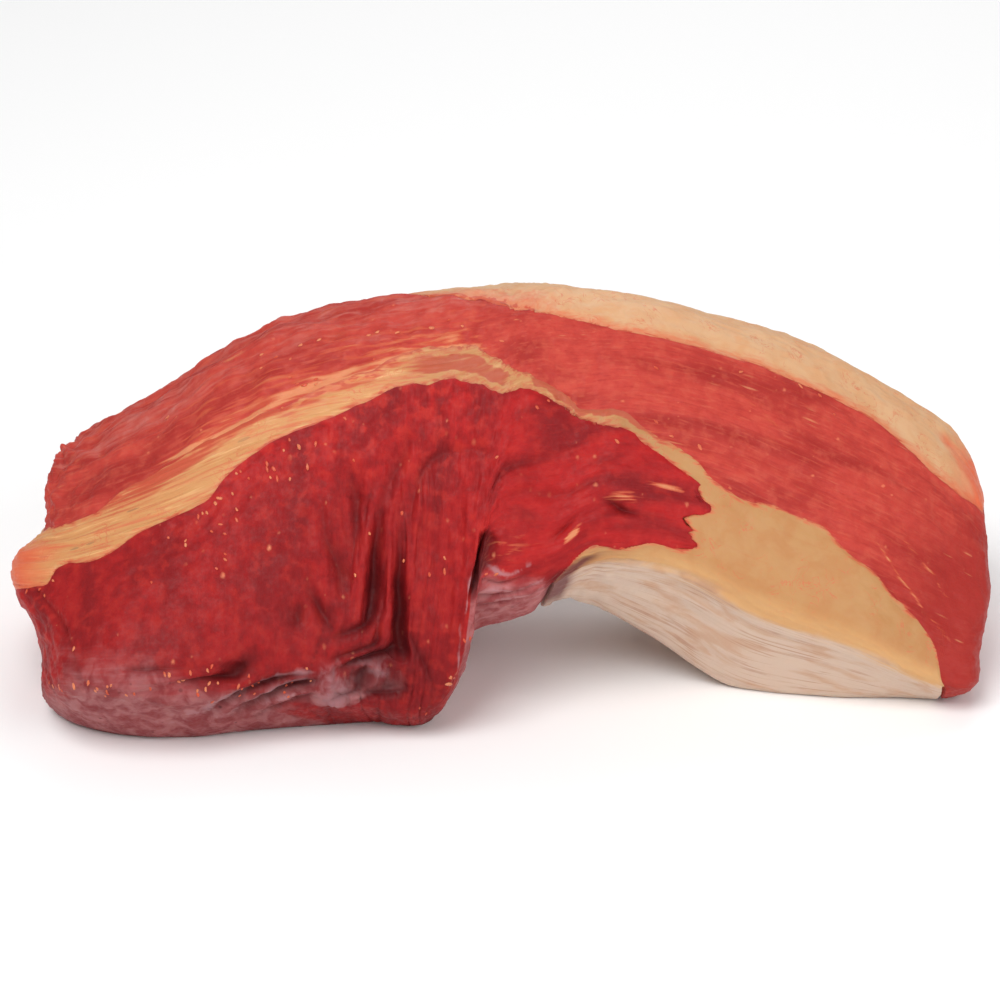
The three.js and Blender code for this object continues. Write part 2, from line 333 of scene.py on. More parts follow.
    def middle(self) -> Array:
        """Finds the middle of the joint's own box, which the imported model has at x 0 and y 0.

        Returns:
            x and y of the middle and a zero, in mm.
        """
        s = np.linspace(0.0, 1.0, 241)
        t = np.linspace(0.0, 1.0, 41)
        faces = [self.place(s[:, None], t[None, :], side) for side in (0.0, 1.0)]
        faces += [self.place(s[:, None], side, t[None, :]) for side in (0.0, 1.0)]
        faces += [self.place(side, t[:, None], t[None, :]) for side in (0.0, 1.0)]
        points = np.concatenate([face.reshape(-1, 3) for face in faces])
        centre = (points.min(axis=0) + points.max(axis=0)) / 2.0
        return np.array([centre[0], centre[1], 0.0])


@dataclass(frozen=True)
class LayerLines:
    """Where the layers meet, as lines in s and r on the front face, and how they change further back."""

    seam_top: Pairs = (
        (0, 0.24), (0.095, 0.25), (0.12, 0.215), (0.2, 0.175), (0.229, 0.17), (0.26, 0.14),
        (0.317, 0.095), (0.385, 0.095), (0.42, 0.135), (0.49, 0.2), (0.566, 0.28), (0.59, 0.328),
        (0.637, 0.35), (0.664, 0.41), (0.708, 0.49), (0.745, 0.56), (0.8, 0.535), (0.848, 0.6),
        (0.875, 0.66), (0.9, 0.7), (0.932, 0.79), (0.948, 0.93), (0.965, 1),
    )
    lean_top: Pairs = (
        (0, 0.5), (0.05, 0.47), (0.062, 0.41), (0.1, 0.415), (0.13, 0.362), (0.175, 0.345),
        (0.188, 0.305), (0.22, 0.25), (0.252, 0.228), (0.31, 0.175), (0.36, 0.17), (0.393, 0.188),
        (0.445, 0.242), (0.528, 0.275), (0.586, 0.345), (0.61, 0.385), (0.65, 0.428), (0.673, 0.485),
        (0.709, 0.565), (0.722, 0.64),
    )
    tongue_bottom: Pairs = (
        (0.585, 1), (0.603, 0.95), (0.632, 0.865), (0.66, 0.89), (0.685, 0.85), (0.705, 0.855),
        (0.722, 0.83),
    )
    tongue_end: float = 0.722
    seam_end: float = 0.957
    tongue_tip: Pairs = (
        (0.6, 0.0), (0.66, 0.001), (0.7, -0.012), (0.76, -0.009), (0.79, 0.0), (0.84, -0.006),
    )
    layer_dip: float = 0.06
    cap_start: float = 0.06
    cap_depth: Pairs = (
        (0, 0.06), (0.4, 0.065), (0.6, 0.085), (0.858, 0.108), (0.9, 0.165), (0.95, 0.19), (1, 0.16),
    )
    cap_edge: Pairs = (
        (0, 0.78), (0.12, 0.7), (0.2, 0.54), (0.26, 0.4), (0.322, 0.217), (0.346, 0.143), (0.366, 0.117),
        (0.402, 0.075), (0.451, 0.032), (0.499, 0), (0.63, -0.3), (1, -0.5),
    )
    cap_feather: float = 0.36
    cap_edge_depth: float = 0.012
    ragged: float = 0.009

    def torn(self, s: Array, w: Array, seed: int) -> Array:
        """Makes a line slightly ragged, by a random field with blobs of 7 mm along the arch.

        Args:
            s: place along the arch.
            w: place from front to back.
            seed: which of the random fields to read.

        Returns:
            How far the line moves, as r.
        """
        s, w = np.broadcast_arrays(s, w)
        points = stretched(s * FORM.length, 0.0 * s, w * FORM.depth, 7.0, 1.0, 14.0)
        return self.ragged * rough(points, seed, 4)

    def dip(self, s: Array, w: Array) -> Array:
        """Finds how much deeper the layers on the left lie towards the back."""
        return self.layer_dip * np.clip(w, 0.0, 1.0) * (1.0 - smooth(0.5, 0.7, s))

    def seam_over(self, s: Array, w: Array) -> Array:
        """Reads the line between the upper lean and the fat seam."""
        fade = 1.0 - smooth(0.9, 0.95, s)
        return line(self.seam_top, s) + self.dip(s, w) + fade * self.torn(s, w, 11)

    def lean_over(self, s: Array, w: Array) -> Array:
        """Reads the line between the fat seam and the lower lean."""
        return line(self.lean_top, s) + self.dip(s, w) + 0.6 * self.torn(s, w, 23)

    def tip(self, s: Array, r: Array, w: Array) -> Array:
        """Finds how far the tongue's blunt end is moved along the arch: a shallow notch, torn edges.

        Args:
            s: place along the arch.
            r: place through the joint.
            w: place from front to back.

        Returns:
            The move as s.
        """
        s, r, w = np.broadcast_arrays(s, r, w)
        points = stretched(0.0 * s, r * FORM.thickness, w * FORM.depth, 1.0, 3.0, 9.0)
        move = line(self.tongue_tip, r) + 0.006 * rough(points, 37, 3)
        return move * smooth(0.66, self.tongue_end, s)

    def lean_under(self, s: Array, w: Array) -> Array:
        """Reads the lower lean's lower side, which is the tongue's on the right."""
        inside = smooth(0.585, 0.62, s)
        return line(self.tongue_bottom, s) + inside * self.torn(s, w, 31)

    def cap_under(self, s: Array, w: Array) -> Array:
        """Reads the fat cap's under side: thin at its front edge, full a short way behind it.

        Args:
            s: place along the arch.
            w: place from front to back.

        Returns:
            The under side, as r.
        """
        body = smooth(0.0, self.cap_feather, w - line(self.cap_edge, s))
        full = line(self.cap_depth, s)
        return self.cap_edge_depth + (full - self.cap_edge_depth) * body + 0.5 * self.torn(s, w, 41)

    def cap_front(self, s: Array) -> Array:
        """Reads where the fat cap starts behind the front face, as w.

        Args:
            s: place along the arch.

        Returns:
            The front edge, as w.
        """
        s = np.asarray(s, float)
        wander = 0.02 * rough(stretched(s * FORM.length, 0.0 * s, 0.0 * s, 9.0, 1.0, 1.0), 53, 3)
        edge = line(self.cap_edge, s)
        return np.clip(edge + wander * smooth(0.0, 0.06, edge), 0.0, 1.0)


FORM = ArchForm()
LINES = LayerLines()

HOLLOWS = (
    Crease(((0.362, 0.328, 0.6, 3.2), (0.33, 0.39, 0.9, 3.2), (0.316, 0.49, 1.2, 3.0),
            (0.316, 0.59, 1.5, 3.0), (0.321, 0.8, 1.8, 3.0)), 2.0),
    Crease(((0.319, 0.305, 0.6, 3.0), (0.298, 0.44, 0.9, 2.8), (0.297, 0.535, 1.2, 2.6),
            (0.295, 0.695, 1.4, 2.6)), 2.0),
    Crease(((0.362, 0.328, 0.5, 3.2), (0.391, 0.343, 0.6, 3.2), (0.43, 0.39, 0.5, 3.2),
            (0.473, 0.43, 0.3, 3.2)), 2.0),
    Crease(((0.273, 0.36, 0.8, 2.8), (0.276, 0.473, 1.2, 2.8), (0.268, 0.6, 1.2, 2.8)), 2.0),
    Crease(((0.187, 0.86, 1.6, 3.0), (0.17, 0.92, 1.8, 3.4), (0.13, 0.95, 1.2, 3.4)), 2.0),
    Crease(((0.272, 0.9, 1.6, 4.0), (0.285, 0.905, 3.4, 5.0), (0.3, 0.905, 4.2, 5.4),
            (0.318, 0.88, 3.4, 5.0), (0.33, 0.86, 1.6, 4.0)), 2.0),
)

PLEATS = (
    Crease(((0.321, 0.265, 0.3, 1.6), (0.319, 0.315, 0.9, 1.6), (0.307, 0.378, 1.1, 1.5),
            (0.301, 0.425, 1.1, 1.4), (0.297, 0.49, 1.7, 1.3), (0.295, 0.555, 3.2, 1.2),
            (0.295, 0.623, 4.2, 1.3), (0.293, 0.693, 4.0, 1.3), (0.288, 0.725, 3.2, 1.3),
            (0.278, 0.742, 2.4, 1.3), (0.266, 0.756, 1.8, 1.3), (0.255, 0.768, 0.6, 1.3))),
    Crease(((0.316, 0.44, 0.4, 1.4), (0.317, 0.51, 1.2, 1.3), (0.317, 0.583, 2.6, 1.1),
            (0.317, 0.628, 3.8, 1.1), (0.319, 0.682, 4.4, 1.2), (0.319, 0.735, 4.6, 1.4),
            (0.321, 0.785, 4.4, 1.8))),
    Crease(((0.4, 0.345, 0.2, 1.6), (0.375, 0.335, 0.6, 1.5), (0.358, 0.328, 1.0, 1.4),
            (0.346, 0.338, 1.3, 1.4), (0.335, 0.372, 1.3, 1.4), (0.328, 0.422, 1.0, 1.4),
            (0.326, 0.48, 0.7, 1.5), (0.328, 0.56, 0.3, 1.5))),
    Crease(((0.356, 0.33, 0.3, 1.3), (0.382, 0.338, 0.7, 1.3), (0.41, 0.36, 0.7, 1.4),
            (0.44, 0.395, 0.5, 1.4), (0.471, 0.425, 0.2, 1.5))),
    Crease(((0.274, 0.35, 0.3, 1.3), (0.275, 0.388, 1.3, 1.2), (0.277, 0.42, 1.6, 1.2),
            (0.278, 0.487, 1.5, 1.2), (0.277, 0.55, 0.3, 1.3))),
    Crease(((0.253, 0.4, 0.3, 1.4), (0.254, 0.438, 1.1, 1.3), (0.256, 0.505, 1.6, 1.3),
            (0.264, 0.575, 1.9, 1.4), (0.268, 0.62, 1.3, 1.4), (0.27, 0.67, 0.3, 1.4))),
    Crease(((0.295, 0.36, 0.3, 1.2), (0.291, 0.4, 1.0, 1.2), (0.285, 0.448, 1.1, 1.2),
            (0.283, 0.51, 0.4, 1.2))),
    Crease(((0.241, 0.6, 0.3, 1.4), (0.247, 0.652, 1.8, 1.4), (0.254, 0.7, 2.5, 1.4),
            (0.26, 0.742, 1.2, 1.3))),
    Crease(((0.239, 0.66, 0.6, 1.4), (0.236, 0.7, 2.2, 1.5), (0.234, 0.735, 0.6, 1.4))),
    Crease(((0.256, 0.832, 0.4, 1.1), (0.268, 0.816, 1.8, 1.1), (0.288, 0.792, 2.3, 1.1),
            (0.298, 0.77, 2.2, 1.1), (0.298, 0.74, 1.0, 1.0))),
    Crease(((0.262, 0.862, 0.6, 1.4), (0.272, 0.852, 2.2, 1.5), (0.289, 0.828, 3.4, 1.7),
            (0.31, 0.797, 4.4, 1.9), (0.322, 0.765, 3.4, 1.6))),
    Crease(((0.323, 0.735, 0.6, 1.6), (0.334, 0.765, 1.5, 1.6), (0.349, 0.818, 1.6, 1.7),
            (0.36, 0.873, 1.0, 1.7), (0.368, 0.93, 0.3, 1.7))),
    Crease(((0.322, 0.893, 0.8, 1.5), (0.31, 0.918, 1.8, 1.5), (0.298, 0.945, 1.6, 1.5),
            (0.28, 0.99, 0.5, 1.6))),
    Crease(((0.2, 0.78, 0.4, 1.6), (0.199, 0.82, 2.2, 1.7), (0.194, 0.855, 3.4, 1.9),
            (0.183, 0.885, 2.8, 1.6), (0.166, 0.895, 1.8, 1.3), (0.148, 0.906, 0.4, 1.3))),
    Crease(((0.163, 1.14, 0.6, 1.2), (0.172, 1.09, 1.4, 1.3), (0.183, 1.03, 2.2, 1.4),
            (0.194, 0.969, 2.8, 1.5), (0.207, 0.928, 3.2, 1.6), (0.22, 0.893, 3.2, 1.6),
            (0.233, 0.876, 1.6, 1.4), (0.246, 0.868, 0.5, 1.3))),
    Crease(((0.181, 1.17, 0.6, 1.1), (0.188, 1.12, 1.4, 1.2), (0.2, 1.04, 2.2, 1.3),
            (0.218, 0.966, 3.0, 1.5), (0.231, 0.926, 3.6, 1.7), (0.241, 0.905, 3.2, 1.7),
            (0.25, 0.896, 0.8, 1.3))),
    Crease(((0.2, 1.18, 0.5, 1.1), (0.207, 1.12, 1.4, 1.1), (0.224, 1.036, 2.0, 1.1),
            (0.237, 0.985, 1.6, 1.1), (0.246, 0.96, 0.4, 1.1))),
    Crease(((0.257, 1.0, 0.5, 1.1), (0.27, 0.97, 1.4, 1.2), (0.281, 0.935, 2.2, 1.8),
            (0.283, 0.9, 2.6, 2.2), (0.287, 0.868, 1.6, 1.8))),
    Crease(((0.282, 0.95, 0.8, 1.4), (0.296, 0.948, 2.0, 1.5), (0.312, 0.928, 1.8, 1.6),
            (0.326, 0.9, 1.0, 1.5))),
    Crease(((0.484, 0.82, 0.4, 1.1), (0.506, 0.87, 1.2, 1.1), (0.53, 0.9, 1.3, 1.0),
            (0.562, 0.86, 0.5, 0.9))),
    Crease(((0.484, 0.88, 0.4, 1.1), (0.504, 0.95, 1.3, 1.2), (0.536, 0.965, 1.2, 1.0),
            (0.568, 0.92, 0.4, 0.9))),
    Crease(((0.49, 0.97, 0.4, 1.0), (0.51, 1.04, 1.2, 1.1), (0.548, 1.03, 1.2, 1.0),
            (0.588, 0.96, 0.4, 0.9))),
    Crease(((0.034, 0.47, 0.3, 1.4), (0.045, 0.54, 1.1, 1.4), (0.056, 0.605, 1.3, 1.5),
            (0.068, 0.698, 1.2, 1.5), (0.073, 0.802, 1.0, 1.5), (0.08, 0.95, 0.3, 1.5))),
    Crease(((0.11, 0.822, 0.3, 1.2), (0.125, 0.828, 1.2, 1.1), (0.145, 0.83, 1.0, 1.1),
            (0.16, 0.836, 0.3, 1.1))),
    Crease(((0.638, 0.665, 0.6, 1.4), (0.648, 0.69, 2.0, 1.5), (0.656, 0.712, 2.4, 1.4),
            (0.668, 0.73, 0.8, 1.3))),
    Crease(((0.575, 0.755, 0.3, 1.2), (0.588, 0.735, 1.2, 1.1), (0.601, 0.712, 1.0, 1.1),
            (0.61, 0.69, 0.3, 1.1))),
    Crease(((0.43, 0.508, 0.3, 1.6), (0.47, 0.51, 0.8, 1.6), (0.521, 0.49, 0.9, 1.6),
            (0.571, 0.458, 0.4, 1.6)), 1.6),
    Crease(((0.5, 0.6, 0.3, 1.8), (0.54, 0.58, 0.9, 1.8), (0.59, 0.6, 0.8, 1.8),
            (0.626, 0.59, 0.3, 1.8)), 1.6),
)

# The silverskin's fold ridges, painted paler: partly paler film, partly a painted highlight where they catch
# the light.
RIDGES = (
    Crease(((0.15, 1.12, 0.4, 1.6), (0.164, 1.11, 0.8, 1.6), (0.181, 1.0, 0.8, 1.3),
            (0.2, 0.939, 0.9, 1.1), (0.219, 0.883, 0.9, 1.0), (0.236, 0.862, 0.7, 1.0),
            (0.25, 0.862, 0.3, 1.0))),
    Crease(((0.172, 1.17, 0.5, 1.4), (0.194, 1.046, 0.8, 1.0), (0.212, 0.966, 0.9, 1.0),
            (0.229, 0.908, 0.9, 1.0), (0.24, 0.89, 0.5, 0.9))),
    Crease(((0.2, 1.06, 0.4, 0.8), (0.222, 0.995, 0.7, 0.8), (0.238, 0.955, 0.6, 0.8),
            (0.247, 0.94, 0.4, 0.8))),
    Crease(((0.259, 0.875, 0.7, 3.2), (0.262, 0.93, 0.9, 3.6), (0.262, 1.0, 0.8, 3.2),
            (0.262, 1.08, 0.4, 2.6))),
    Crease(((0.272, 0.86, 0.4, 1.6), (0.285, 0.85, 0.5, 1.4), (0.298, 0.85, 0.4, 1.4))),
    Crease(((0.291, 0.88, 0.5, 2.2), (0.301, 0.872, 0.9, 2.6), (0.311, 0.862, 0.5, 1.8))),
    Crease(((0.4, 0.78, 0.3, 1.0), (0.404, 0.85, 0.6, 1.0), (0.406, 0.93, 0.6, 1.0),
            (0.405, 1.0, 0.4, 1.0))),
    Crease(((0.421, 0.66, 0.3, 0.9), (0.416, 0.71, 0.8, 1.1), (0.413, 0.77, 0.5, 1.0))),
    Crease(((0.49, 0.79, 0.3, 1.0), (0.512, 0.83, 0.6, 1.1), (0.536, 0.86, 0.6, 1.1),
            (0.56, 0.82, 0.3, 1.0))),
    Crease(((0.5, 0.91, 0.3, 1.0), (0.52, 0.93, 0.7, 1.0), (0.55, 0.94, 0.6, 1.0),
            (0.58, 0.9, 0.3, 1.0))),
    Crease(((0.5, 1.0, 0.3, 1.0), (0.53, 1.0, 0.7, 1.2), (0.56, 0.985, 0.5, 1.0),
            (0.59, 0.93, 0.3, 1.0))),
)

STRANDS = (
    Crease(((0.137, 0.17, 0.4, 0.6), (0.158, 0.173, 0.8, 0.6), (0.178, 0.185, 0.8, 0.7),
            (0.198, 0.173, 0.9, 0.7), (0.218, 0.158, 0.9, 0.7), (0.238, 0.14, 0.8, 0.7),
            (0.258, 0.13, 0.8, 0.6), (0.274, 0.11, 0.3, 0.6))),
    Crease(((0.838, 0.44, 0.2, 0.6), (0.868, 0.525, 0.6, 0.6), (0.888, 0.595, 0.7, 0.7),
            (0.917, 0.672, 0.6, 0.7), (0.95, 0.738, 0.2, 0.6))),
    Crease(((0.88, 0.44, 0.2, 0.5), (0.9, 0.483, 0.5, 0.6), (0.918, 0.52, 0.6, 0.6),
            (0.944, 0.585, 0.2, 0.5))),
    Crease(((0.735, 0.21, 0.2, 0.5), (0.752, 0.238, 0.4, 0.5), (0.774, 0.275, 0.2, 0.5))),
    Crease(((0.632, 0.632, 0.3, 1.0), (0.645, 0.65, 0.5, 1.0), (0.657, 0.664, 0.5, 1.0),
            (0.67, 0.684, 0.3, 0.8))),
    Crease(((0.668, 0.6, 0.2, 0.8), (0.684, 0.606, 0.45, 0.8), (0.706, 0.616, 0.2, 0.8))),
    Crease(((0.54, 0.6, 0.2, 0.8), (0.556, 0.583, 0.4, 0.8), (0.566, 0.566, 0.2, 0.8))),
)


def crease_depth(creases: tuple[Crease, ...], s: Array, r: Array) -> Array:
    """Measures how deep all creases press the front face in, in mm: the deepest at each point.

    Args:
        creases: the creases to measure.
        s: place along the arch.
        r: place through the joint.

    Returns:
        The depth in mm.
    """
    depth = np.zeros(s.shape)
    for crease in creases:
        depth = np.maximum(depth, crease.depth(s, r))
    return depth


@dataclass
class Layer:
    """One layer of the joint: a closed tube whose cross-section runs round the layer's four sides.

    It has its piece's and node's names, the stations along the arch, the points on its four sides,
    the rings that close each end, and where along the arch the stations lie closer together.
    """

    name: str
    node: str
    stations: int
    sides: tuple[int, int, int, int]
    rings: int = 14
    start: float = 0.0
    end: float = 1.0
    dense: tuple[float, float, float] = (0.5, 0.1, 0.0)
    skin: "Skin | None" = None

    def limits(self, s: Array, w: Array) -> tuple[Array, Array]:
        """Reads the layer's outer and inner side as r. Each layer has its own."""
        raise NotImplementedError

    def depth_of(self, s: Array, w: Array) -> Array:
        """Turns the share of the layer from front to back into w."""
        return w

    def moved(self, s: Array, r: Array, w: Array) -> Array:
        """Finds how far points are moved along the arch."""
        return np.zeros(s.shape)

    def pressed(self, s: Array, r: Array, w: Array, edge: Array) -> Array:
        """Finds how far the front face is pressed in, in mm, before any fine relief.

        Args:
            s: place along the arch.
            r: place through the joint, not used.
            w: place from front to back.
            edge: the distance in mm from the nearest line between two layers.

        Returns:
            A narrow groove along the layer's edges that comes and goes.
        """
        comes = 0.5 + 0.5 * rough(stretched(s * FORM.length, 0.0 * s, 0.0 * s, 9.0, 1.0, 1.0), 61, 2)
        groove = np.clip(comes, 0.0, 1.0) * np.exp(-((edge / 0.9) ** 2))
        return 0.3 * groove * (1.0 - smooth(0.0, 0.12, w))

    def fine(self, s: Array, r: Array, w: Array) -> Array:
        """Finds the height of the fine relief, outwards from the surface, in mm."""
        return np.zeros(s.shape)

    def marks(self, s: Array, r: Array, w: Array, q: Array) -> dict[str, Array]:
        """Finds the values that the finish reads at each vertex, by name."""
        return {}

    def exposed(self, s: Array, side: Array) -> Array:
        """Tells where the layer's skin shows, from 0 for hidden to 1."""
        shows = (side == Side.FRONT.value) | (side == Side.BACK.value)
        return shows.astype(float)

    def section(self) -> tuple[Array, Array, Array]:
        """Lays the points of the cross-section out.

        Returns:
            The share through the layer, the share from front to back and the side of each point,
            round the front, under, back and over sides, bunched towards the corners.
        """
        q, w, side = [], [], []
        for which, count in zip(Side, self.sides):
            t = np.arange(count) / count
            t = t - 0.35 * np.sin(2.0 * np.pi * t) / (2.0 * np.pi)
            along = {
                Side.FRONT: (t, 0.0 * t),
                Side.UNDER: (0.0 * t + 1.0, t),
                Side.BACK: (1.0 - t, 0.0 * t + 1.0),
                Side.OVER: (0.0 * t, 1.0 - t),
            }[which]
            q.append(along[0])
            w.append(along[1])
            side.append(np.full(count, which.value))
        return np.concatenate(q), np.concatenate(w), np.concatenate(side)

    def spread(self) -> Array:
        """Lays the stations out, from 0 to 1, in steps that are the inverse of a density.

        Returns:
            The stations: the density has a bell-shaped rise where the layer is dense and a short
            one at each end, and its running sum is read backwards.
        """
        t = np.linspace(0.0, 1.0, 4001)
        s = self.start + (self.end - self.start) * t
        centre, width, factor = self.dense
        density = 1.0 + factor * np.exp(-(((s - centre) / width) ** 2))
        density += 1.2 * np.exp(-t / 0.012) + 1.2 * np.exp(-(1.0 - t) / 0.012)
        total = np.cumsum(density) - density[0]
        return np.interp(np.linspace(0.0, total[-1], self.stations), total, t)

    def grid(self) -> tuple[Array, Array, Array, Array]:
        """Lays the whole layer out as rings, from the middle of its left end to that of its right end.

        Returns:
            s, the share through the layer, the share from front to back and the side, one row for
            each ring.
        """
        q, w, side = self.section()
        grow = (np.arange(self.rings) + 1.0) / (self.rings + 1.0)
        t = np.concatenate([np.zeros(self.rings), self.spread(), np.ones(self.rings)])
        size = np.concatenate([grow, np.ones(self.stations), grow[::-1]])
        s = self.start + (self.end - self.start) * t[:, None] + 0.0 * q
        share = 0.5 + (q[None, :] - 0.5) * size[:, None]
        back = 0.5 + (w[None, :] - 0.5) * size[:, None]
        sides = np.where(size[:, None] < 1.0, Side.FRONT.value, side[None, :])
        return s, share, back, sides

    def build(self) -> bpy.types.Object:
        """Makes the layer's mesh.

        Returns:
            The object: rings of points placed by the arch's formula, moved out by the fine relief
            along normals that are the cross product of the grid's own two directions.
        """
        s, q, back, side = self.grid()
        w = self.depth_of(s, back)
        over, under = self.limits(s, w)
        r = over + (under - over) * q
        s = s + self.moved(s, r, w)
        upper_edge = np.where(over < 0.01, 99.0, (r - over) * FORM.thickness)
        lower_edge = np.where(under > 0.99, 99.0, (under - r) * FORM.thickness)
        points = FORM.place(s, r, w, self.pressed(s, r, w, np.minimum(upper_edge, lower_edge)))
        ahead = np.gradient(points, axis=0)
        round_it = np.roll(points, -1, axis=1) - np.roll(points, 1, axis=1)
        normal = np.cross(round_it, ahead)
        normal /= np.maximum(np.linalg.norm(normal, axis=-1, keepdims=True), 1e-9)
        shows = self.exposed(s, side)
        meets = smooth(0.0, 1.6, np.minimum(upper_edge, lower_edge))
        height = self.fine(s, r, w) * shows * meets * smooth(0.0, 2.5, points[..., 2] + 0.6)
        points = points + normal * height[..., None]
        points[..., 2] = np.maximum(points[..., 2], 0.0)
        self.skin = Skin(points, normal, ahead, s, r, w, shows)
        marks = self.marks(s, r, w, q)
        marks["grain"] = np.stack(in_mm(s, r, w), axis=-1)
        return self.mesh(points, marks, self.corners(s))

    def corners(self, s: Array) -> Array:
        """Tells where the shading breaks: on the corners between a side that shows and a hidden one.

        Args:
            s: place along the arch of each point.

        Returns:
            True for each point of such a corner.
        """
        breaks = np.zeros(s.shape, bool)
        starts = np.cumsum((0,) + self.sides)[:4]
        for which, start in zip(Side, starts):
            before = np.full(s.shape[0], Side((which.value - 1) % 4).value)
            after = np.full(s.shape[0], which.value)
            here = s[:, start]
            breaks[:, start] = self.exposed(here, before) != self.exposed(here, after)
        return breaks

    def mesh(self, points: Array, marks: dict[str, Array], breaks: Array) -> bpy.types.Object:
        """Puts the rings into a mesh, closes both ends with a middle point and stores the marks.

        Args:
            points: the rings' points in mm.
            marks: the values for the finish, one for each point, by name.
            breaks: whether the shading breaks at each point, along the arch.

        Returns:
            The linked object, at the origin, with its place in its mesh.
        """
        rows, columns = points.shape[:2]
        flat = (points.reshape(-1, 3) - OFFSET) * METRES
        flat = np.vstack([flat, flat[:columns].mean(axis=0), flat[-columns:].mean(axis=0)])
        first = np.arange(rows * columns).reshape(rows, columns)
        turned = np.roll(first, -1, axis=1)
        quads = np.stack([first[:-1], turned[:-1], turned[1:], first[1:]], axis=-1).reshape(-1, 4)
        left, right = rows * columns, rows * columns + 1
        fan_left = np.stack([np.full(columns, left), turned[0], first[0]], axis=-1)
        fan_right = np.stack([np.full(columns, right), first[-1], turned[-1]], axis=-1)
        faces = quads.tolist() + fan_left.tolist() + fan_right.tolist()
        mesh = bpy.data.meshes.new(self.name)
        mesh.from_pydata(flat, [], faces)
        for name, values in marks.items():
            width = values.reshape(rows * columns, -1)
            width = np.vstack([width, width[:columns].mean(axis=0), width[-columns:].mean(axis=0)])
            kind = "FLOAT_VECTOR" if width.shape[1] == 3 else "FLOAT"
            store = mesh.attributes.new(name, kind, "POINT")
            store.data.foreach_set("vector" if kind == "FLOAT_VECTOR" else "value", width.ravel())
        mesh.shade_smooth()
        ends = np.empty(2 * len(mesh.edges), np.int32)
        mesh.edges.foreach_get("vertices", ends)
        ends = ends.reshape(-1, 2)
        breaks = np.append(breaks.ravel(), [False, False])
        same = (ends[:, 0] % columns == ends[:, 1] % columns) & (ends.max(axis=1) < rows * columns)
        sharp = same & breaks[ends[:, 0]] & breaks[ends[:, 1]]
        for cut, row in ((self.start > 0.0, self.rings), (self.end < 1.0, rows - self.rings - 1)):
            sharp |= cut & (ends[:, 0] // columns == row) & (ends[:, 1] // columns == row)
        mesh.attributes.new("sharp_edge", "BOOLEAN", "EDGE").data.foreach_set("value", sharp)
        mesh.update()
        piece = bpy.data.objects.new(self.name, mesh)
        bpy.context.scene.collection.objects.link(piece)
        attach(piece, "root")
        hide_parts(self.node)
        return piece


@dataclass
class Skin:
    """A layer's finished surface: its points and normals in mm, and each point's place in the form."""

    points: Array
    normal: Array
    ahead: Array
    s: Array
    r: Array
    w: Array
    shows: Array


def in_mm(s: Array, r: Array, w: Array) -> tuple[Array, Array, Array]:
    """Turns a place in the form into mm along the arch, through it and from front to back."""
    return s * FORM.length, r * FORM.thickness, w * FORM.depth


def lumps_of(
    s: Array, r: Array, w: Array, size: tuple[float, float, float], seed: int, octaves: int
) -> Array:
    """Reads random lumps of a size in mm along the arch, through it and from front to back."""
    return rough(stretched(*in_mm(s, r, w), *size), seed, octaves)


@dataclass
class FatCap(Layer):
    """The layer of fat over the top and the right shoulder."""

    def limits(self, s: Array, w: Array) -> tuple[Array, Array]:
        """Reads the cap's outer and inner side."""
        return np.zeros(s.shape), LINES.cap_under(s, w)

    def depth_of(self, s: Array, w: Array) -> Array:
        """Starts the cap at its front edge."""
        edge = LINES.cap_front(s)
        return edge + (1.0 - edge) * w

    def exposed(self, s: Array, side: Array) -> Array:
        """Shows all but the under side."""
        return (side != Side.UNDER.value).astype(float)

    def fine(self, s: Array, r: Array, w: Array) -> Array:
        """Gives the fat soft lobes, shallow knife marks and small pits.

        Args:
            s: place along the arch.
            r: place through the joint.
            w: place from front to back.

        Returns:
            The height in mm.
        """
        along, across, deep = in_mm(s, r, w)
        lobes = lumps_of(s, r, w, (16.0, 9.0, 12.0), 101, 3)
        marks = rough(stretched(along + 0.4 * deep, across, deep, 3.4, 8.0, 22.0), 109, 2)
        pits = lumps_of(s, r, w, (2.6, 2.4, 2.6), 103, 2)
        return 0.6 * lobes + 0.12 * marks + 0.14 * pits

    def marks(self, s: Array, r: Array, w: Array, q: Array) -> dict[str, Array]:
        """Marks the pink tip at the right end and how near the lean is.

        Args:
            s: place along the arch.
            r: place through the joint.
            w: place from front to back.
            q: share of the way through the layer.

        Returns:
            The values by name, one for each point.
        """
        drift = lumps_of(s, r, w, (9.0, 6.0, 9.0), 107, 3)
        tip = smooth(0.92, 0.985, s + 0.02 * drift) * (1.0 - smooth(0.3, 0.7, w))
        thin = (1.0 - q) * (LINES.cap_under(s, w)) * FORM.thickness
        rim = (w - LINES.cap_front(s)) * FORM.depth + 1.5 * drift
        rim = np.where(line(LINES.cap_edge, s) > 0.002, rim, 99.0)
        return {"blush": tip, "stain": np.minimum(thin, 0.35 * rim), "film": np.full(s.shape, -9.0)}


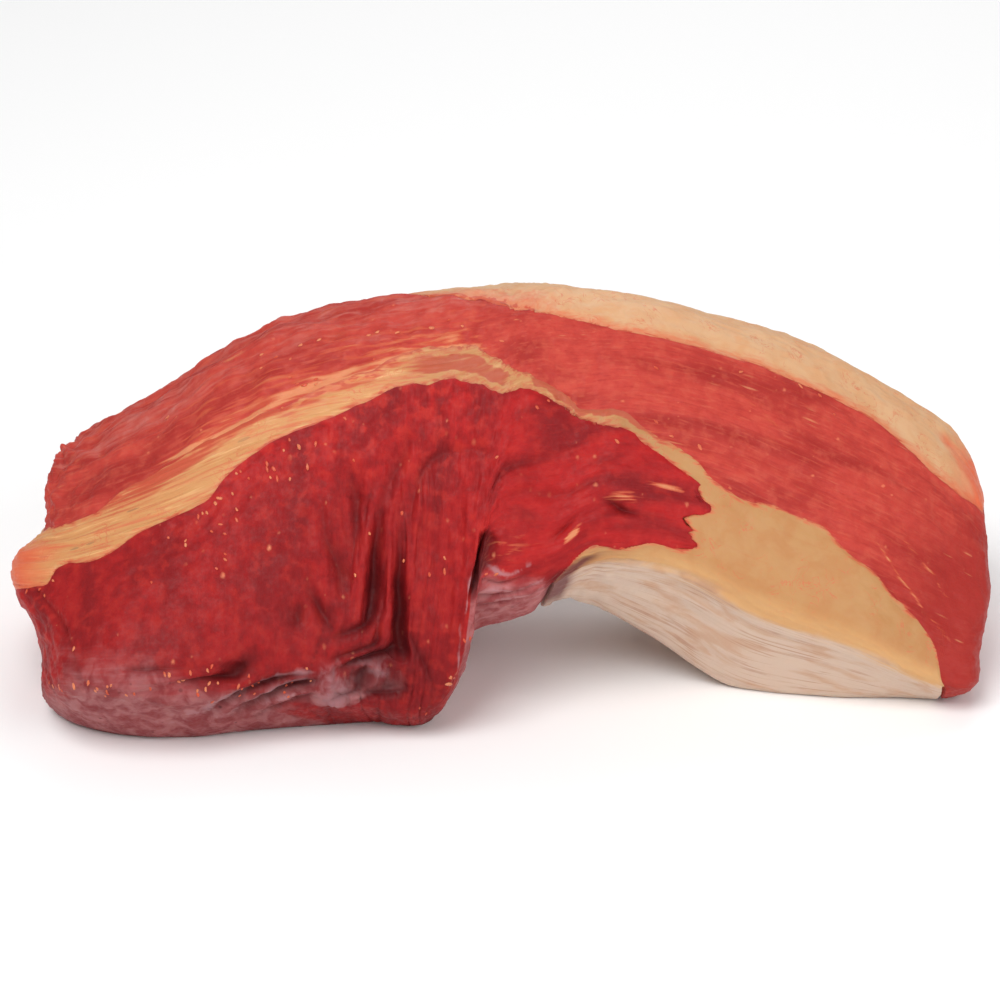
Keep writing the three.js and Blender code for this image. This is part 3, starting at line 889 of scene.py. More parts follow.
@dataclass
class UpperLean(Layer):
    """The upper muscle, from the left end over the arch and down to the right foot."""

    def limits(self, s: Array, w: Array) -> tuple[Array, Array]:
        """Reads the muscle's sides: under the cap where that lies over it, the joint's skin elsewhere.

        Args:
            s: place along the arch.
            w: place from front to back.

        Returns:
            The outer and the inner side, as r.
        """
        covered = smooth(-0.006, 0.006, w - LINES.cap_front(s) - 1e-6)
        covered = np.where(line(LINES.cap_edge, s) <= 0.0, 1.0, covered)
        covered = covered * smooth(LINES.cap_start - 0.004, LINES.cap_start + 0.004, s)
        return LINES.cap_under(s, w) * covered, np.minimum(LINES.seam_over(s, w), 1.0)

    def exposed(self, s: Array, side: Array) -> Array:
        """Shows the faces, the skin over the top and the foot's under side.

        Args:
            s: place along the arch.
            side: the side of the cross-section.

        Returns:
            1 where the skin shows and 0 where it is hidden.
        """
        faces = (side == Side.FRONT.value) | (side == Side.BACK.value) | (side == Side.OVER.value)
        foot = (side == Side.UNDER.value) & (s > 0.965)
        return (faces | foot).astype(float)

    def fine(self, s: Array, r: Array, w: Array) -> Array:
        """Gives the muscle ridges that run along the arch, and a lumpier skin at its left end.

        Args:
            s: place along the arch.
            r: place through the joint.
            w: place from front to back.

        Returns:
            The height in mm.
        """
        ridges = lumps_of(s, r, w, (16.0, 2.8, 6.0), 201, 3)
        lumps = lumps_of(s, r, w, (6.5, 6.0, 8.0), 203, 3)
        small = lumps_of(s, r, w, (2.8, 2.4, 3.0), 205, 2)
        left = 1.0 - smooth(0.25, 0.45, s)
        knobs = lumps_of(s, r, w, (7.0, 8.0, 9.0), 209, 2)
        top = (1.0 - smooth(0.2, 0.34, s)) * (1.0 - smooth(0.0, 0.2, r))
        skin = 0.24 * ridges + (0.24 + 0.7 * left) * lumps + (0.14 + 0.2 * left) * small
        return skin + 0.9 * top * knobs

    def marks(self, s: Array, r: Array, w: Array, q: Array) -> dict[str, Array]:
        """Marks the pale film over the top left, partly a painted sheen where the top faces the light, the
        fatty lean by the seam and the dark right end.

        Args:
            s: place along the arch.
            r: place through the joint.
            w: place from front to back.
            q: share of the way through the layer, not used.

        Returns:
            The values by name, one for each point.
        """
        drift = lumps_of(s, r, w, (18.0, 5.0, 9.0), 207, 3)
        # pale film over the top left: partly film, partly a painted sheen where the top faces the light
        top = 1.4 - r * FORM.thickness + 2.2 * drift - 30.0 * smooth(0.38, 0.5, s)
        near = (LINES.seam_over(s, w) - r) * FORM.thickness
        left = smooth(0.08, 0.2, s) * (1.0 - smooth(0.36, 0.46, s))
        pale = np.exp(-np.maximum(near, 0.0) / (0.8 + 7.0 * left)) * (0.3 + 0.3 * left)
        dark = 1.4 * smooth(0.85, 0.97, s) * smooth(0.2, 0.55, r) + 0.3 * smooth(0.93, 1.0, s)
        strands = crease_depth(STRANDS, s, r) * (1.0 - smooth(0.0, 0.1, w))
        return {
            "film": top,
            "fatty": np.clip(pale + 0.1 * drift + strands, 0.0, 1.0),
            "dark": np.clip(dark, 0.0, 1.0),
            "turn": np.ones(s.shape),
            "painted_shade": np.zeros(s.shape),
        }


@dataclass
class FatSeam(Layer):
    """The fat between the two muscles, which widens on the right into the big wedge."""

    def limits(self, s: Array, w: Array) -> tuple[Array, Array]:
        """Reads the seam's sides. On the right it runs on behind the tongue, down to the belly.

        Args:
            s: place along the arch.
            w: place from front to back.

        Returns:
            The outer and the inner side, as r.
        """
        over = np.minimum(LINES.seam_over(s, w), 0.995)
        lean = np.maximum(LINES.lean_over(s, w), over + 0.015)
        return over, lean + (1.0 - lean) * smooth(0.565, 0.6, s)

    def in_tongue(self, s: Array, r: Array, w: Array) -> Array:
        """Measures how far each point lies inside the tongue, in mm, below zero outside it.

        Args:
            s: place along the arch.
            r: place through the joint.
            w: place from front to back.

        Returns:
            The distance in mm.
        """
        across = np.minimum(r - LINES.lean_over(s, w), LINES.lean_under(s, w) - r)
        tip = LINES.tongue_end + LINES.tip(s, r, w)
        return np.minimum(across * FORM.thickness, (tip - s) * FORM.length)

    def pressed(self, s: Array, r: Array, w: Array, edge: Array) -> Array:
        """Presses the fat in along its edges, and behind the tongue so that only the lean shows.

        Args:
            s: place along the arch.
            r: place through the joint.
            w: place from front to back.
            edge: the distance in mm from the nearest line between two layers.

        Returns:
            The depth in mm.
        """
        base = super().pressed(s, r, w, edge)
        hidden = smooth(0.4, 1.8, self.in_tongue(s, r, w))
        return base + 3.0 * hidden * (1.0 - smooth(0.0, 0.2, w)) - 3.0 * hidden * smooth(0.8, 1.0, w)

    def exposed(self, s: Array, side: Array) -> Array:
        """Shows the faces, and the belly to the right of the bend.

        Args:
            s: place along the arch.
            side: the side of the cross-section.

        Returns:
            1 where the skin shows and 0 where it is hidden.
        """
        faces = (side == Side.FRONT.value) | (side == Side.BACK.value)
        belly = (side == Side.UNDER.value) & (s > 0.59)
        return (faces | belly).astype(float)

    def fine(self, s: Array, r: Array, w: Array) -> Array:
        """Gives the seam a stringy relief, the wedge a soft one and the belly long wrinkles.

        Args:
            s: place along the arch.
            r: place through the joint.
            w: place from front to back.

        Returns:
            The height in mm.
        """
        strings = lumps_of(s, r, w, (20.0, 1.5, 8.0), 301, 3)
        lobes = lumps_of(s, r, w, (13.0, 9.0, 10.0), 303, 3)
        pits = lumps_of(s, r, w, (2.6, 2.4, 2.6), 309, 2)
        wrinkles = lumps_of(s, r, w, (34.0, 40.0, 2.6), 305, 3)
        thin = 1.0 - smooth(0.62, 0.72, s)
        belly = smooth(0.97, 0.995, r)
        nodules = lumps_of(s, r, w, (3.6, 3.0, 4.0), 311, 2)
        knobbly = smooth(0.48, 0.54, s) * (1.0 - smooth(0.64, 0.7, s))
        face = (1.0 - belly) * (thin * 0.42 * strings + (1.0 - thin) * (0.32 * lobes + 0.1 * pits))
        face = face * smooth(0.0, 1.6, np.abs(self.in_tongue(s, r, w)))
        return face + 0.5 * knobbly * nodules + belly * (0.26 * wrinkles + 0.25 * lobes)

    def marks(self, s: Array, r: Array, w: Array, q: Array) -> dict[str, Array]:
        """Marks the belly's film, the lean in the seam, the pink tip, the painted shade in the crevice and
        the wedge's lower rim, lightened as painted light.

        Args:
            s: place along the arch.
            r: place through the joint.
            w: place from front to back.
            q: share of the way through the layer, not used.

        Returns:
            The values by name, one for each point.
        """
        drift = lumps_of(s, r, w, (22.0, 2.6, 8.0), 307, 3)
        turned = w * FORM.depth - (1.0 - r) * FORM.thickness + 1.2 + 1.4 * drift
        turned = turned - 40.0 * (1.0 - smooth(0.02, 0.1, s))
        over = LINES.seam_over(s, w)
        upper = (r - over) * FORM.thickness
        width = np.maximum((LINES.lean_over(s, w) - over) * FORM.thickness, 1.0)
        share = upper / width
        left = smooth(0.02, 0.14, s) * (1.0 - smooth(0.3, 0.34, s))
        zone_left = left * (1.0 - smooth(0.22, 0.55, share + 0.08 * drift))
        strand = np.exp(-(((upper - 1.0 - 5.0 * smooth(0.24, 0.13, s)) / 0.55) ** 2)) * smooth(0.13, 0.16, s)
        middle = smooth(0.3, 0.345, s) * (1.0 - smooth(0.44, 0.49, s))
        zone_middle = middle * smooth(0.16, 0.32, share) * (1.0 - smooth(0.68, 0.8, share))
        narrow = smooth(0.49, 0.53, s) * (1.0 - smooth(0.66, 0.7, s))
        nodes = lumps_of(s, r, w, (4.2, 4.0, 5.0), 313, 2)
        zone_narrow = narrow * (1.0 - smooth(1.0, 2.0, upper + 0.9 * nodes))
        lean = 0.62 * zone_left * (1.0 - 0.75 * strand) + 0.85 * zone_middle + 0.9 * zone_narrow
        lean = lean + 0.2 * drift * (zone_left + zone_middle)
        tongue = np.where(s > 0.56, -self.in_tongue(s, r, w), 99.0)
        thin = s < 0.58
        low_edge = np.where(thin, (LINES.lean_over(s, w) - r) * FORM.thickness, tongue)
        stain = np.minimum(np.maximum(low_edge, 0.0), np.maximum(upper, 0.0) * (1.0 - 0.55 * left))
        tip = (1.0 - smooth(0.016, 0.07, s + 0.008 * drift)) * smooth(0.1, 0.4, share)
        # painted shade: the crevice by the tongue is darkened in colour
        crevice = s - 0.632 + 0.28 * (r - 0.93) + 0.004 * drift
        notch = np.exp(-((crevice / 0.011) ** 2)) + 0.8 * (1.0 - smooth(-0.006, 0.006, crevice))
        notch = np.minimum(notch, 1.0) * smooth(0.89, 0.94, r) * (1.0 - smooth(0.1, 0.3, w))
        return {
            "film": turned,
            "lean": np.clip(lean, 0.0, 1.0),
            "blush": np.clip(tip, 0.0, 1.0),
            "dark": notch,
            "dull": 0.24 * smooth(0.28, 0.36, s) * (1.0 - smooth(0.64, 0.7, s)),
            # painted light: the wedge's lower rim, where it turns down from the lamps, is lightened in
            # colour
            "rim": smooth(0.84, 0.96, r) * (1.0 - smooth(0.0, 0.05, w)) * smooth(0.63, 0.7, s),
            "stain": stain,
            "thin": 1.0 - smooth(0.58, 0.68, s),
        }


@dataclass
class LowerLean(Layer):
    """The lower muscle: the left foot, the creases at the bend and the tongue in the wedge."""

    silver: Pairs = (
        (0, 0.9), (0.05, 0.76), (0.077, 0.68), (0.106, 0.68), (0.139, 0.74), (0.165, 0.86), (0.2, 0.9),
        (0.23, 0.86), (0.258, 0.86), (0.3, 0.84), (0.325, 0.85), (0.34, 0.95), (0.355, 1.06), (0.405, 1.06),
        (0.418, 0.85), (0.425, 0.7), (0.432, 0.64), (0.445, 0.665), (0.47, 0.74), (0.493, 0.79),
        (0.523, 0.82), (0.56, 0.84), (0.585, 0.9), (0.603, 0.96),
    )
    lip: Pairs = (
        (0.19, 1.09), (0.21, 1.045), (0.235, 1.02), (0.265, 1.07), (0.285, 0.985), (0.3, 0.955), (0.34, 0.9),
    )
    step_depth: Pairs = ((0.58, 0), (0.62, 2), (0.66, 4.4), (0.7, 4), (0.77, 2), (0.84, 1.1), (1, 0.8))
    hollow: Pairs = (
        (0.56, 0.43), (0.605, 0.43), (0.65, 0.43), (0.695, 0.421), (0.75, 0.418), (0.85, 0.42), (1.0, 0.42),
    )

    def limits(self, s: Array, w: Array) -> tuple[Array, Array]:
        """Reads the muscle's sides."""
        return LINES.lean_over(s, w), LINES.lean_under(s, w)

    def exposed(self, s: Array, side: Array) -> Array:
        """Shows all but the side against the seam, and but the tongue's under side.

        Args:
            s: place along the arch.
            side: the side of the cross-section.

        Returns:
            1 where the skin shows and 0 where it is hidden.
        """
        faces = (side == Side.FRONT.value) | (side == Side.BACK.value)
        belly = (side == Side.UNDER.value) & (s < 0.61)
        return (faces | belly).astype(float)

    def moved(self, s: Array, r: Array, w: Array) -> Array:
        """Shapes the tongue's end."""
        return LINES.tip(s, r, w)

    def small_pleats(self, s: Array, r: Array) -> Array:
        """Finds the depth of the small pleats that run down the face left of the bend, in mm.

        Args:
            s: place along the arch.
            r: place through the joint.

        Returns:
            Rounded ridges between narrow creases, which lie where a random field crosses zero,
            strongest next to the bend and fading to the left and above.
        """
        along, across, _ = in_mm(s, r, r)
        sway = 3.0 * np.sin(across / 13.0 + 1.2) + 0.12 * across * (s - 0.25)
        broad = rough(stretched(along + sway, across, 0.0 * along, 4.4, 30.0, 1.0), 401, 2)
        narrow = rough(stretched(along + sway, across, 0.0 * along, 2.1, 13.0, 1.0), 403, 2)
        creases = np.exp(-np.abs(broad) / 0.16) + 0.5 * np.exp(-np.abs(narrow) / 0.2)
        near_bend = smooth(0.18, 0.26, s) * (1.0 - smooth(0.34, 0.4, s)) * smooth(0.3, 0.45, r)
        everywhere = (1.0 - smooth(0.34, 0.4, s)) * smooth(0.02, 0.1, s)
        return creases * (0.5 * near_bend + 0.18 * everywhere)

    def carried(self, s: Array, r: Array, w: Array) -> Array:
        """Carries r on round the face's lower edge, so that folds run on under it."""
        return r + 1.45 * w * smooth(0.9, 1.0, r)

    def creases(self, s: Array, r: Array) -> Array:
        """Adds the drawn pleats and the small ones, in mm."""
        drawn = crease_depth(PLEATS, s, r)
        return drawn + self.small_pleats(s, r) * (1.0 - 0.7 * smooth(0.4, 2.0, drawn))

    def step_back(self, s: Array, r: Array) -> Array:
        """Finds how far the face steps back behind the foot's right edge, in mm.

        Args:
            s: place along the arch.
            r: place through the joint.

        Returns:
            A sudden step on the line of the edge that eases off to the right of it.
        """
        past = s - line(self.hollow, r)
        ease = 0.005 + 0.05 * smooth(0.73, 0.82, r)
        rise = np.clip((past + 0.004) / (ease + 0.004), 0.0, 1.0)
        rise = rise * rise * (3.0 - 2.0 * rise)
        return line(self.step_depth, r) * rise * np.exp(-np.maximum(past, 0.0) / 0.036)

    def notch(self, s: Array, r: Array) -> Array:
        """Finds the three-cornered notch under the step, from 0 to 1: it is pressed in and darkened with
        painted shade.

        Args:
            s: place along the arch.
            r: place through the joint.

        Returns:
            The strength, from 0 to 1.
        """
        past = s - line(self.hollow, r)
        sides = smooth(-0.002, 0.006, past) * (1.0 - smooth(0.07, 0.11, past))
        top = smooth(0.0, 0.04, r - 0.585 - 1.3 * past)
        return sides * top * (1.0 - smooth(0.0, 0.06, r - 0.73 - 0.8 * past))

    def pressed(self, s: Array, r: Array, w: Array, edge: Array) -> Array:
        """Presses the hollows in, and the lean's edges where it meets the fat.

        Args:
            s: place along the arch.
            r: place through the joint.
            w: place from front to back.
            edge: the distance in mm from the nearest line between two layers.

        Returns:
            The depth in mm.
        """
        deep = crease_depth(HOLLOWS, s, self.carried(s, r, w)) + self.step_back(s, r)
        deep = deep + 2.0 * self.notch(s, r)
        deep = deep - 0.12 * smooth(0.56, 0.6, s)
        return super().pressed(s, r, w, edge) + deep * (1.0 - smooth(0.0, 0.3, w))

    def fine(self, s: Array, r: Array, w: Array) -> Array:
        """Gives the muscle pleats, fibres down the foot and along the tongue, and soft lumps.

        Args:
            s: place along the arch.
            r: place through the joint.
            w: place from front to back.

        Returns:
            The height in mm.
        """
        down = lumps_of(s, r, w, (2.2, 11.0, 7.0), 411, 3)
        level = lumps_of(s, r, w, (12.0, 2.4, 7.0), 413, 3)
        lumps = lumps_of(s, r, w, (10.0, 9.0, 10.0), 417, 3)
        small = lumps_of(s, r, w, (2.6, 3.2, 3.0), 419, 3)
        turn = smooth(0.38, 0.48, s)
        belly = smooth(0.975, 0.995, r)
        fibres = (1.0 - 0.6 * belly) * 0.2 * (down * (1.0 - turn) + level * turn)
        pleats = self.creases(s, self.carried(s, r, w)) * (1.0 - smooth(0.16, 0.3, w))
        return fibres + 0.5 * lumps + (0.14 + 0.12 * (1.0 - turn)) * small - pleats

    def marks(self, s: Array, r: Array, w: Array, q: Array) -> dict[str, Array]:
        """Marks the silverskin and its pale fold ridges (partly paler film, partly painted highlight), the
        painted shade in the creases, the notch and the crevice, and the fibres' turn.

        Args:
            s: place along the arch.
            r: place through the joint.
            w: place from front to back.
            q: share of the way through the layer, not used.

        Returns:
            The values by name, one for each point.
        """
        drift = lumps_of(s, r, w, (14.0, 5.0, 9.0), 421, 3)
        face = self.carried(s, r, w)
        silver = line(self.silver, s)
        silver = silver + (np.maximum(silver, 0.95) - silver) * smooth(0.3, 0.5, w)
        sudden = 1.0 + 3.0 * smooth(0.13, 0.2, s)
        blobs = lumps_of(s, r, w, (13.0, 9.0, 13.0), 423, 3)
        film = (face - silver) * FORM.thickness * sudden + 2.0 * drift + 6.0 * blobs
        lip = smooth(0.17, 0.26, s + 0.02 * drift) * (1.0 - smooth(0.36, 0.4, s))
        lip = lip * smooth(-0.02, 0.02, face - line(self.lip, s) + 0.015 * drift)
        lip = lip * (1.0 - smooth(0.3, 0.4, w))
        film = film * (1.0 - lip) - 12.0 * lip
        # painted shade: the creases, the step and the notch darken the colour towards the shade colour
        depth = self.creases(s, face) + 0.14 * crease_depth(HOLLOWS, s, face)
        depth = depth + 0.4 * self.step_back(s, r) * (1.0 - smooth(0.72, 0.82, r))
        shade = 1.0 - np.exp(-((depth / 1.9) ** 1.5))
        shade = shade * (1.0 - smooth(0.16, 0.35, w))
        # painted shade in the crevice by the tongue
        crevice = np.exp(-(((s - 0.592 - 0.1 * (r - 0.9)) / 0.012) ** 2)) * smooth(0.84, 0.95, r)
        shade = np.maximum(shade, 0.8 * crevice * (1.0 - smooth(0.1, 0.3, w)))
        # pale fold ridges: partly paler film, partly painted highlight
        pale = crease_depth(RIDGES, s, face) * (1.0 - smooth(0.2, 0.35, w))
        # painted shade: a little darker towards the foot's lower edge
        low = smooth(0.5, 1.0, r) * 0.2 * (1.0 - smooth(0.4, 0.5, s)) * (1.0 - smooth(0.1, 0.4, w))
        spots = ((0.51, 0.75, 0.05, 0.07), (0.652, 0.66, 0.016, 0.03), (0.688, 0.608, 0.016, 0.012))
        warm = sum(0.34 * np.exp(-(((s - a) / c) ** 2) - ((r - b) / d) ** 2) for a, b, c, d in spots)
        flake = np.exp(-(((s - 0.606) / 0.009) ** 4) - ((r - 0.765 - 1.1 * (0.606 - s)) / 0.022) ** 4)
        return {
            "film": film,
            "pale": np.clip(pale + 0.2 * drift * pale, 0.0, 1.0),
            "painted_shade": np.clip(np.maximum(shade, 0.85 * self.notch(s, r)) + low, 0.0, 1.0),
            "turn": smooth(0.36, 0.5, s),
            "fatty": np.clip(warm + 0.9 * flake + crease_depth(STRANDS, s, r), 0.0, 1.0),
            "dark": 0.45 * (1.0 - smooth(0.36, 0.44, s)) * smooth(0.02, 0.07, s) * smooth(0.25, 0.5, r),
        }


@dataclass
class FatFlecks:
    """Small bits of fat and of cut connective tissue that stick to the lean.

    Each fleck is a round-ended drop with an uneven skin, half sunk into the muscle and lying along
    its fibres. Sizes are in mm.
    """

    count: int = 170
    length: tuple[float, float] = (0.45, 1.5)
    width: tuple[float, float] = (0.3, 0.7)
    height: tuple[float, float] = (0.08, 0.16)
    lifted: float = 0.02
    segments: int = 10
    rings: int = 6

    def drop(self) -> tuple[Array, Array]:
        """Makes a ball of radius 1.

        Returns:
            Its points, rings from pole to pole at even angles, and its faces as corner numbers.
        """
        around = np.arange(self.segments) * 2.0 * np.pi / self.segments
        down = (np.arange(self.rings) + 1.0) * np.pi / (self.rings + 1.0)
        circle = np.stack([np.cos(around), np.sin(around)], axis=-1)
        ring = np.sin(down)[:, None, None] * circle[None]
        height = np.broadcast_to(np.cos(down)[:, None, None], (self.rings, self.segments, 1))
        points = np.concatenate([ring, height], axis=-1).reshape(-1, 3)
        points = np.vstack([points, [[0.0, 0.0, 1.0], [0.0, 0.0, -1.0]]])
        first = np.arange(self.rings * self.segments).reshape(self.rings, self.segments)
        turned = np.roll(first, -1, axis=1)
        a, b, c, d = first[:-1].ravel(), first[1:].ravel(), turned[1:].ravel(), turned[:-1].ravel()
        sides = np.concatenate([np.stack([a, b, c], axis=-1), np.stack([a, c, d], axis=-1)])
        top, foot = self.rings * self.segments, self.rings * self.segments + 1
        cap = np.stack([np.full(self.segments, top), first[0], turned[0]], axis=-1)
        base = np.stack([np.full(self.segments, foot), turned[-1], first[-1]], axis=-1)
        return points, np.concatenate([sides, cap, base])

    def pick(self, skin: Skin, share: float, rng: np.random.Generator) -> Array:
        """Chooses where the flecks of one layer lie.

        Args:
            skin: the layer's surface.
            share: the share of all flecks that lie on it.
            rng: the source of random numbers.

        Returns:
            The chosen points' numbers: likelier where a random field is high, so that they lie in
            loose groups, and none in the silverskin or on the hidden sides.
        """
        groups = lumps_of(skin.s, skin.r, skin.w, (17.0, 13.0, 13.0), 501, 2)
        chance = np.clip(groups + 0.25, 0.0, 1.0) ** 1.2 + 0.03
        chance = chance * skin.shows * (skin.points[..., 2] > 4.0)
        chance = chance * np.linalg.norm(skin.ahead, axis=-1)
        chance = chance * np.where((skin.s > 0.02) & (skin.s < 0.97), 1.0, 0.0)
        chance = chance * (1.0 - 0.75 * smooth(0.36, 0.46, skin.s))
        chance = chance * (1.0 - 0.85 * smooth(0.0, 0.05, skin.w) * (1.0 - smooth(0.95, 1.0, skin.w)))
        flat = chance.ravel() / chance.sum()
        return rng.choice(flat.size, int(self.count * share), replace=False, p=flat)

    def build(self, layers: tuple[tuple[Layer, float, bool], ...]) -> bpy.types.Object:
        """Makes all flecks as one mesh.

        Args:
            layers: each layer with its share of the flecks, and whether its fibres run down.

        Returns:
            The linked object.
        """
        rng = np.random.default_rng(SEED)
        ball, faces = self.drop()
        centres, axes = [], []
        for layer, share, down in layers:
            skin = layer.skin
            chosen = self.pick(skin, share, rng)
            normal = skin.normal.reshape(-1, 3)[chosen]
            ahead = skin.ahead.reshape(-1, 3)[chosen]
            ahead = ahead - normal * np.sum(ahead * normal, axis=1, keepdims=True)
            ahead /= np.maximum(np.linalg.norm(ahead, axis=1, keepdims=True), 1e-9)
            across = np.cross(normal, ahead)
            turns = down & (skin.s.ravel()[chosen] < 0.42)
            long = np.where(turns[:, None], across, ahead)
            short = np.cross(normal, long)
            lean = rng.normal(0.0, 0.35, (len(chosen), 1))
            length = long * np.cos(lean) + short * np.sin(lean)
            breadth = short * np.cos(lean) - long * np.sin(lean)
            centres.append(skin.points.reshape(-1, 3)[chosen] + normal * self.lifted)
            axes.append(np.stack([length, breadth, normal], axis=1))
        centre = np.concatenate(centres)
        axis = np.concatenate(axes)
        number = len(centre)
        spread = rng.beta(1.0, 3.5, number)
        sizes = np.stack(
            [
                self.length[0] + (self.length[1] - self.length[0]) * spread,
                self.width[0] + (self.width[1] - self.width[0]) * spread * rng.uniform(0.4, 1.0, number),
                rng.uniform(*self.height, number),
            ],
            axis=1,
        )
        shape = ball[None] * sizes[:, None, :]
        shift = rng.uniform(0.0, 900.0, (number, 1, 3))
        shape = shape * (1.0 + 0.4 * rough(ball[None] * 1.3 + shift, 503, 2))[..., None]
        points = centre[:, None, :] + np.einsum("npk,nkx->npx", shape, axis)
        points[..., 2] = np.maximum(points[..., 2], 0.0)
        corners = faces[None] + (np.arange(number) * len(ball))[:, None, None]
        mesh = bpy.data.meshes.new("fat_flecks")
        mesh.from_pydata((points.reshape(-1, 3) - OFFSET) * METRES, [], corners.reshape(-1, 3).tolist())
        tint = np.repeat(rng.uniform(0.0, 1.0, number), len(ball))
        mesh.attributes.new("tint", "FLOAT", "POINT").data.foreach_set("value", tint)
        mesh.shade_smooth()
        mesh.update()
        piece = bpy.data.objects.new("fat_flecks", mesh)
        bpy.context.scene.collection.objects.link(piece)
        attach(piece, "root")
        return piece


OFFSET = FORM.middle()


class Graph:
    """Adds shader nodes to one material and links them."""

    def __init__(self, name: str) -> None:
        """Starts an empty material.

        Args:
            name: the material's name.
        """
        self.material = bpy.data.materials.new(name)
        self.material.use_nodes = True
        self.tree = self.material.node_tree
        self.tree.nodes.clear()
        self.output = self.tree.nodes.new("ShaderNodeOutputMaterial")

    def put(self, socket: Socket, value: object) -> None:
        """Links a socket to another one, or sets it to a value.

        Args:
            socket: the socket to fill.
            value: the socket or the plain value for it.
        """
        if isinstance(value, Socket):
            self.tree.links.new(value, socket)
        elif value is not None:
            socket.default_value = value

    def mark(self, name: str) -> Socket:
        """Reads a single value that the mesh carries.

        Args:
            name: what it is called.

        Returns:
            The value's socket.
        """
        node = self.tree.nodes.new("ShaderNodeAttribute")
        node.attribute_name = name
        return node.outputs["Fac"]

    def grain(self, along: float, across: float, deep: float) -> Socket:
        """Reads the place in the layer, scaled so that a pattern's blobs have these sizes in mm.

        Args:
            along: size of a blob along the arch, in mm.
            across: its size through the joint, in mm.
            deep: its size from front to back, in mm.

        Returns:
            The scaled place.
        """
        node = self.tree.nodes.new("ShaderNodeAttribute")
        node.attribute_name = "grain"
        scale = self.tree.nodes.new("ShaderNodeVectorMath")
        scale.operation = "MULTIPLY"
        self.tree.links.new(node.outputs["Vector"], scale.inputs[0])
        scale.inputs[1].default_value = (1.0 / along, 1.0 / across, 1.0 / deep)
        return scale.outputs[0]

    def space(self, size: float, tall: float = 1.0) -> Socket:
        """Reads the place in space, scaled so that blobs have this size in mm, times tall upwards.

        Args:
            size: a blob's size, in mm.
            tall: how much taller it is upwards.

        Returns:
            The scaled place.
        """
        node = self.tree.nodes.new("ShaderNodeTexCoord")
        scale = self.tree.nodes.new("ShaderNodeVectorMath")
        scale.operation = "MULTIPLY"
        self.tree.links.new(node.outputs["Object"], scale.inputs[0])
        share = 1.0 / (size * METRES)
        scale.inputs[1].default_value = (share, share, share / tall)
        return scale.outputs[0]

    def noise(self, vector: Socket, detail: float = 3.0, distort: float = 0.0) -> Socket:
        """Reads a noise pattern from 0 to 1.

        Args:
            vector: the place to read.
            detail: how many finer patterns are added.
            distort: how much the pattern is warped.

        Returns:
            The pattern's value.
        """
        node = self.tree.nodes.new("ShaderNodeTexNoise")
        node.inputs["Scale"].default_value = 1.0
        node.inputs["Detail"].default_value = detail
        node.inputs["Distortion"].default_value = distort
        self.tree.links.new(vector, node.inputs["Vector"])
        return node.outputs["Fac"]

    def dabs(self, vector: Socket, chosen: float, size: float, soft: float = 0.3) -> Socket:
        """Scatters dabs: the middles of some cells, out of a pattern of cells.

        Args:
            vector: the place to read.
            chosen: the share of the cells that have a dab.
            size: the dab's radius as a share of the cell's size.
            soft: the share of the radius over which the dab fades.

        Returns:
            1 in the dabs and 0 elsewhere.
        """
        node = self.tree.nodes.new("ShaderNodeTexVoronoi")
        node.inputs["Scale"].default_value = 1.0
        self.tree.links.new(vector, node.inputs["Vector"])
        tint = self.tree.nodes.new("ShaderNodeSeparateColor")
        self.tree.links.new(node.outputs["Color"], tint.inputs[0])
        some = self.step(tint.outputs[0], 1.0 - chosen, 1.0 - 0.8 * chosen)
        radius = self.math("MULTIPLY_ADD", tint.outputs[1], size * 0.8, size * 0.4)
        uneven = self.noise(self.finer(vector, 3.0), 3.0)
        radius = self.math("MULTIPLY_ADD", uneven, size, self.math("SUBTRACT", radius, 0.5 * size))
        spot = self.math("SUBTRACT", radius, node.outputs["Distance"])
        return self.times(some, self.step(spot, 0.0, soft * size))

    def finer(self, vector: Socket, factor: float) -> Socket:
        """Makes a pattern finer by this factor.

        Args:
            vector: the place to read.
            factor: how much finer.

        Returns:
            The scaled place.
        """
        node = self.tree.nodes.new("ShaderNodeVectorMath")
        node.operation = "SCALE"
        self.tree.links.new(vector, node.inputs[0])
        node.inputs["Scale"].default_value = factor
        return node.outputs[0]

    def math(self, operation: str, a: object, b: object = None, c: object = None) -> Socket:
        """Works values out.

        Args:
            operation: the Math node's operation.
            a: the first value or socket.
            b: the second one.
            c: the third one.

        Returns:
            The result.
        """
        node = self.tree.nodes.new("ShaderNodeMath")
        node.operation = operation
        self.put(node.inputs[0], a)
        self.put(node.inputs[1], b)
        self.put(node.inputs[2], c)
        return node.outputs[0]

    def times(self, *shares: object) -> Socket:
        """Multiplies values or sockets."""
        return reduce(lambda first, second: self.math("MULTIPLY", first, second), shares)

    def step(
        self, value: object, low: float, high: float, start: float = 0.0, stop: float = 1.0
    ) -> Socket:
        """Eases from start at low to stop at high.

        Args:
            value: the value or socket to read.
            low: where the step starts.
            high: where it ends.
            start: the result below low.
            stop: the result above high.

        Returns:
            The result.
        """
        node = self.tree.nodes.new("ShaderNodeMapRange")
        node.interpolation_type = "SMOOTHSTEP"
        self.put(node.inputs["Value"], value)
        node.inputs["From Min"].default_value = low
        node.inputs["From Max"].default_value = high
        node.inputs["To Min"].default_value = start
        node.inputs["To Max"].default_value = stop
        return node.outputs["Result"]

    def blend(self, factor: object, a: object, b: object) -> Socket:
        """Mixes two colours.

        Args:
            factor: the share of the second one, as a value or a socket.
            a: the first colour or socket.
            b: the second one.

        Returns:
            The mixed colour.
        """
        node = self.tree.nodes.new("ShaderNodeMix")
        node.data_type = "RGBA"
        self.put(node.inputs[0], factor)
        self.put(node.inputs[6], a)
        self.put(node.inputs[7], b)
        return node.outputs[2]

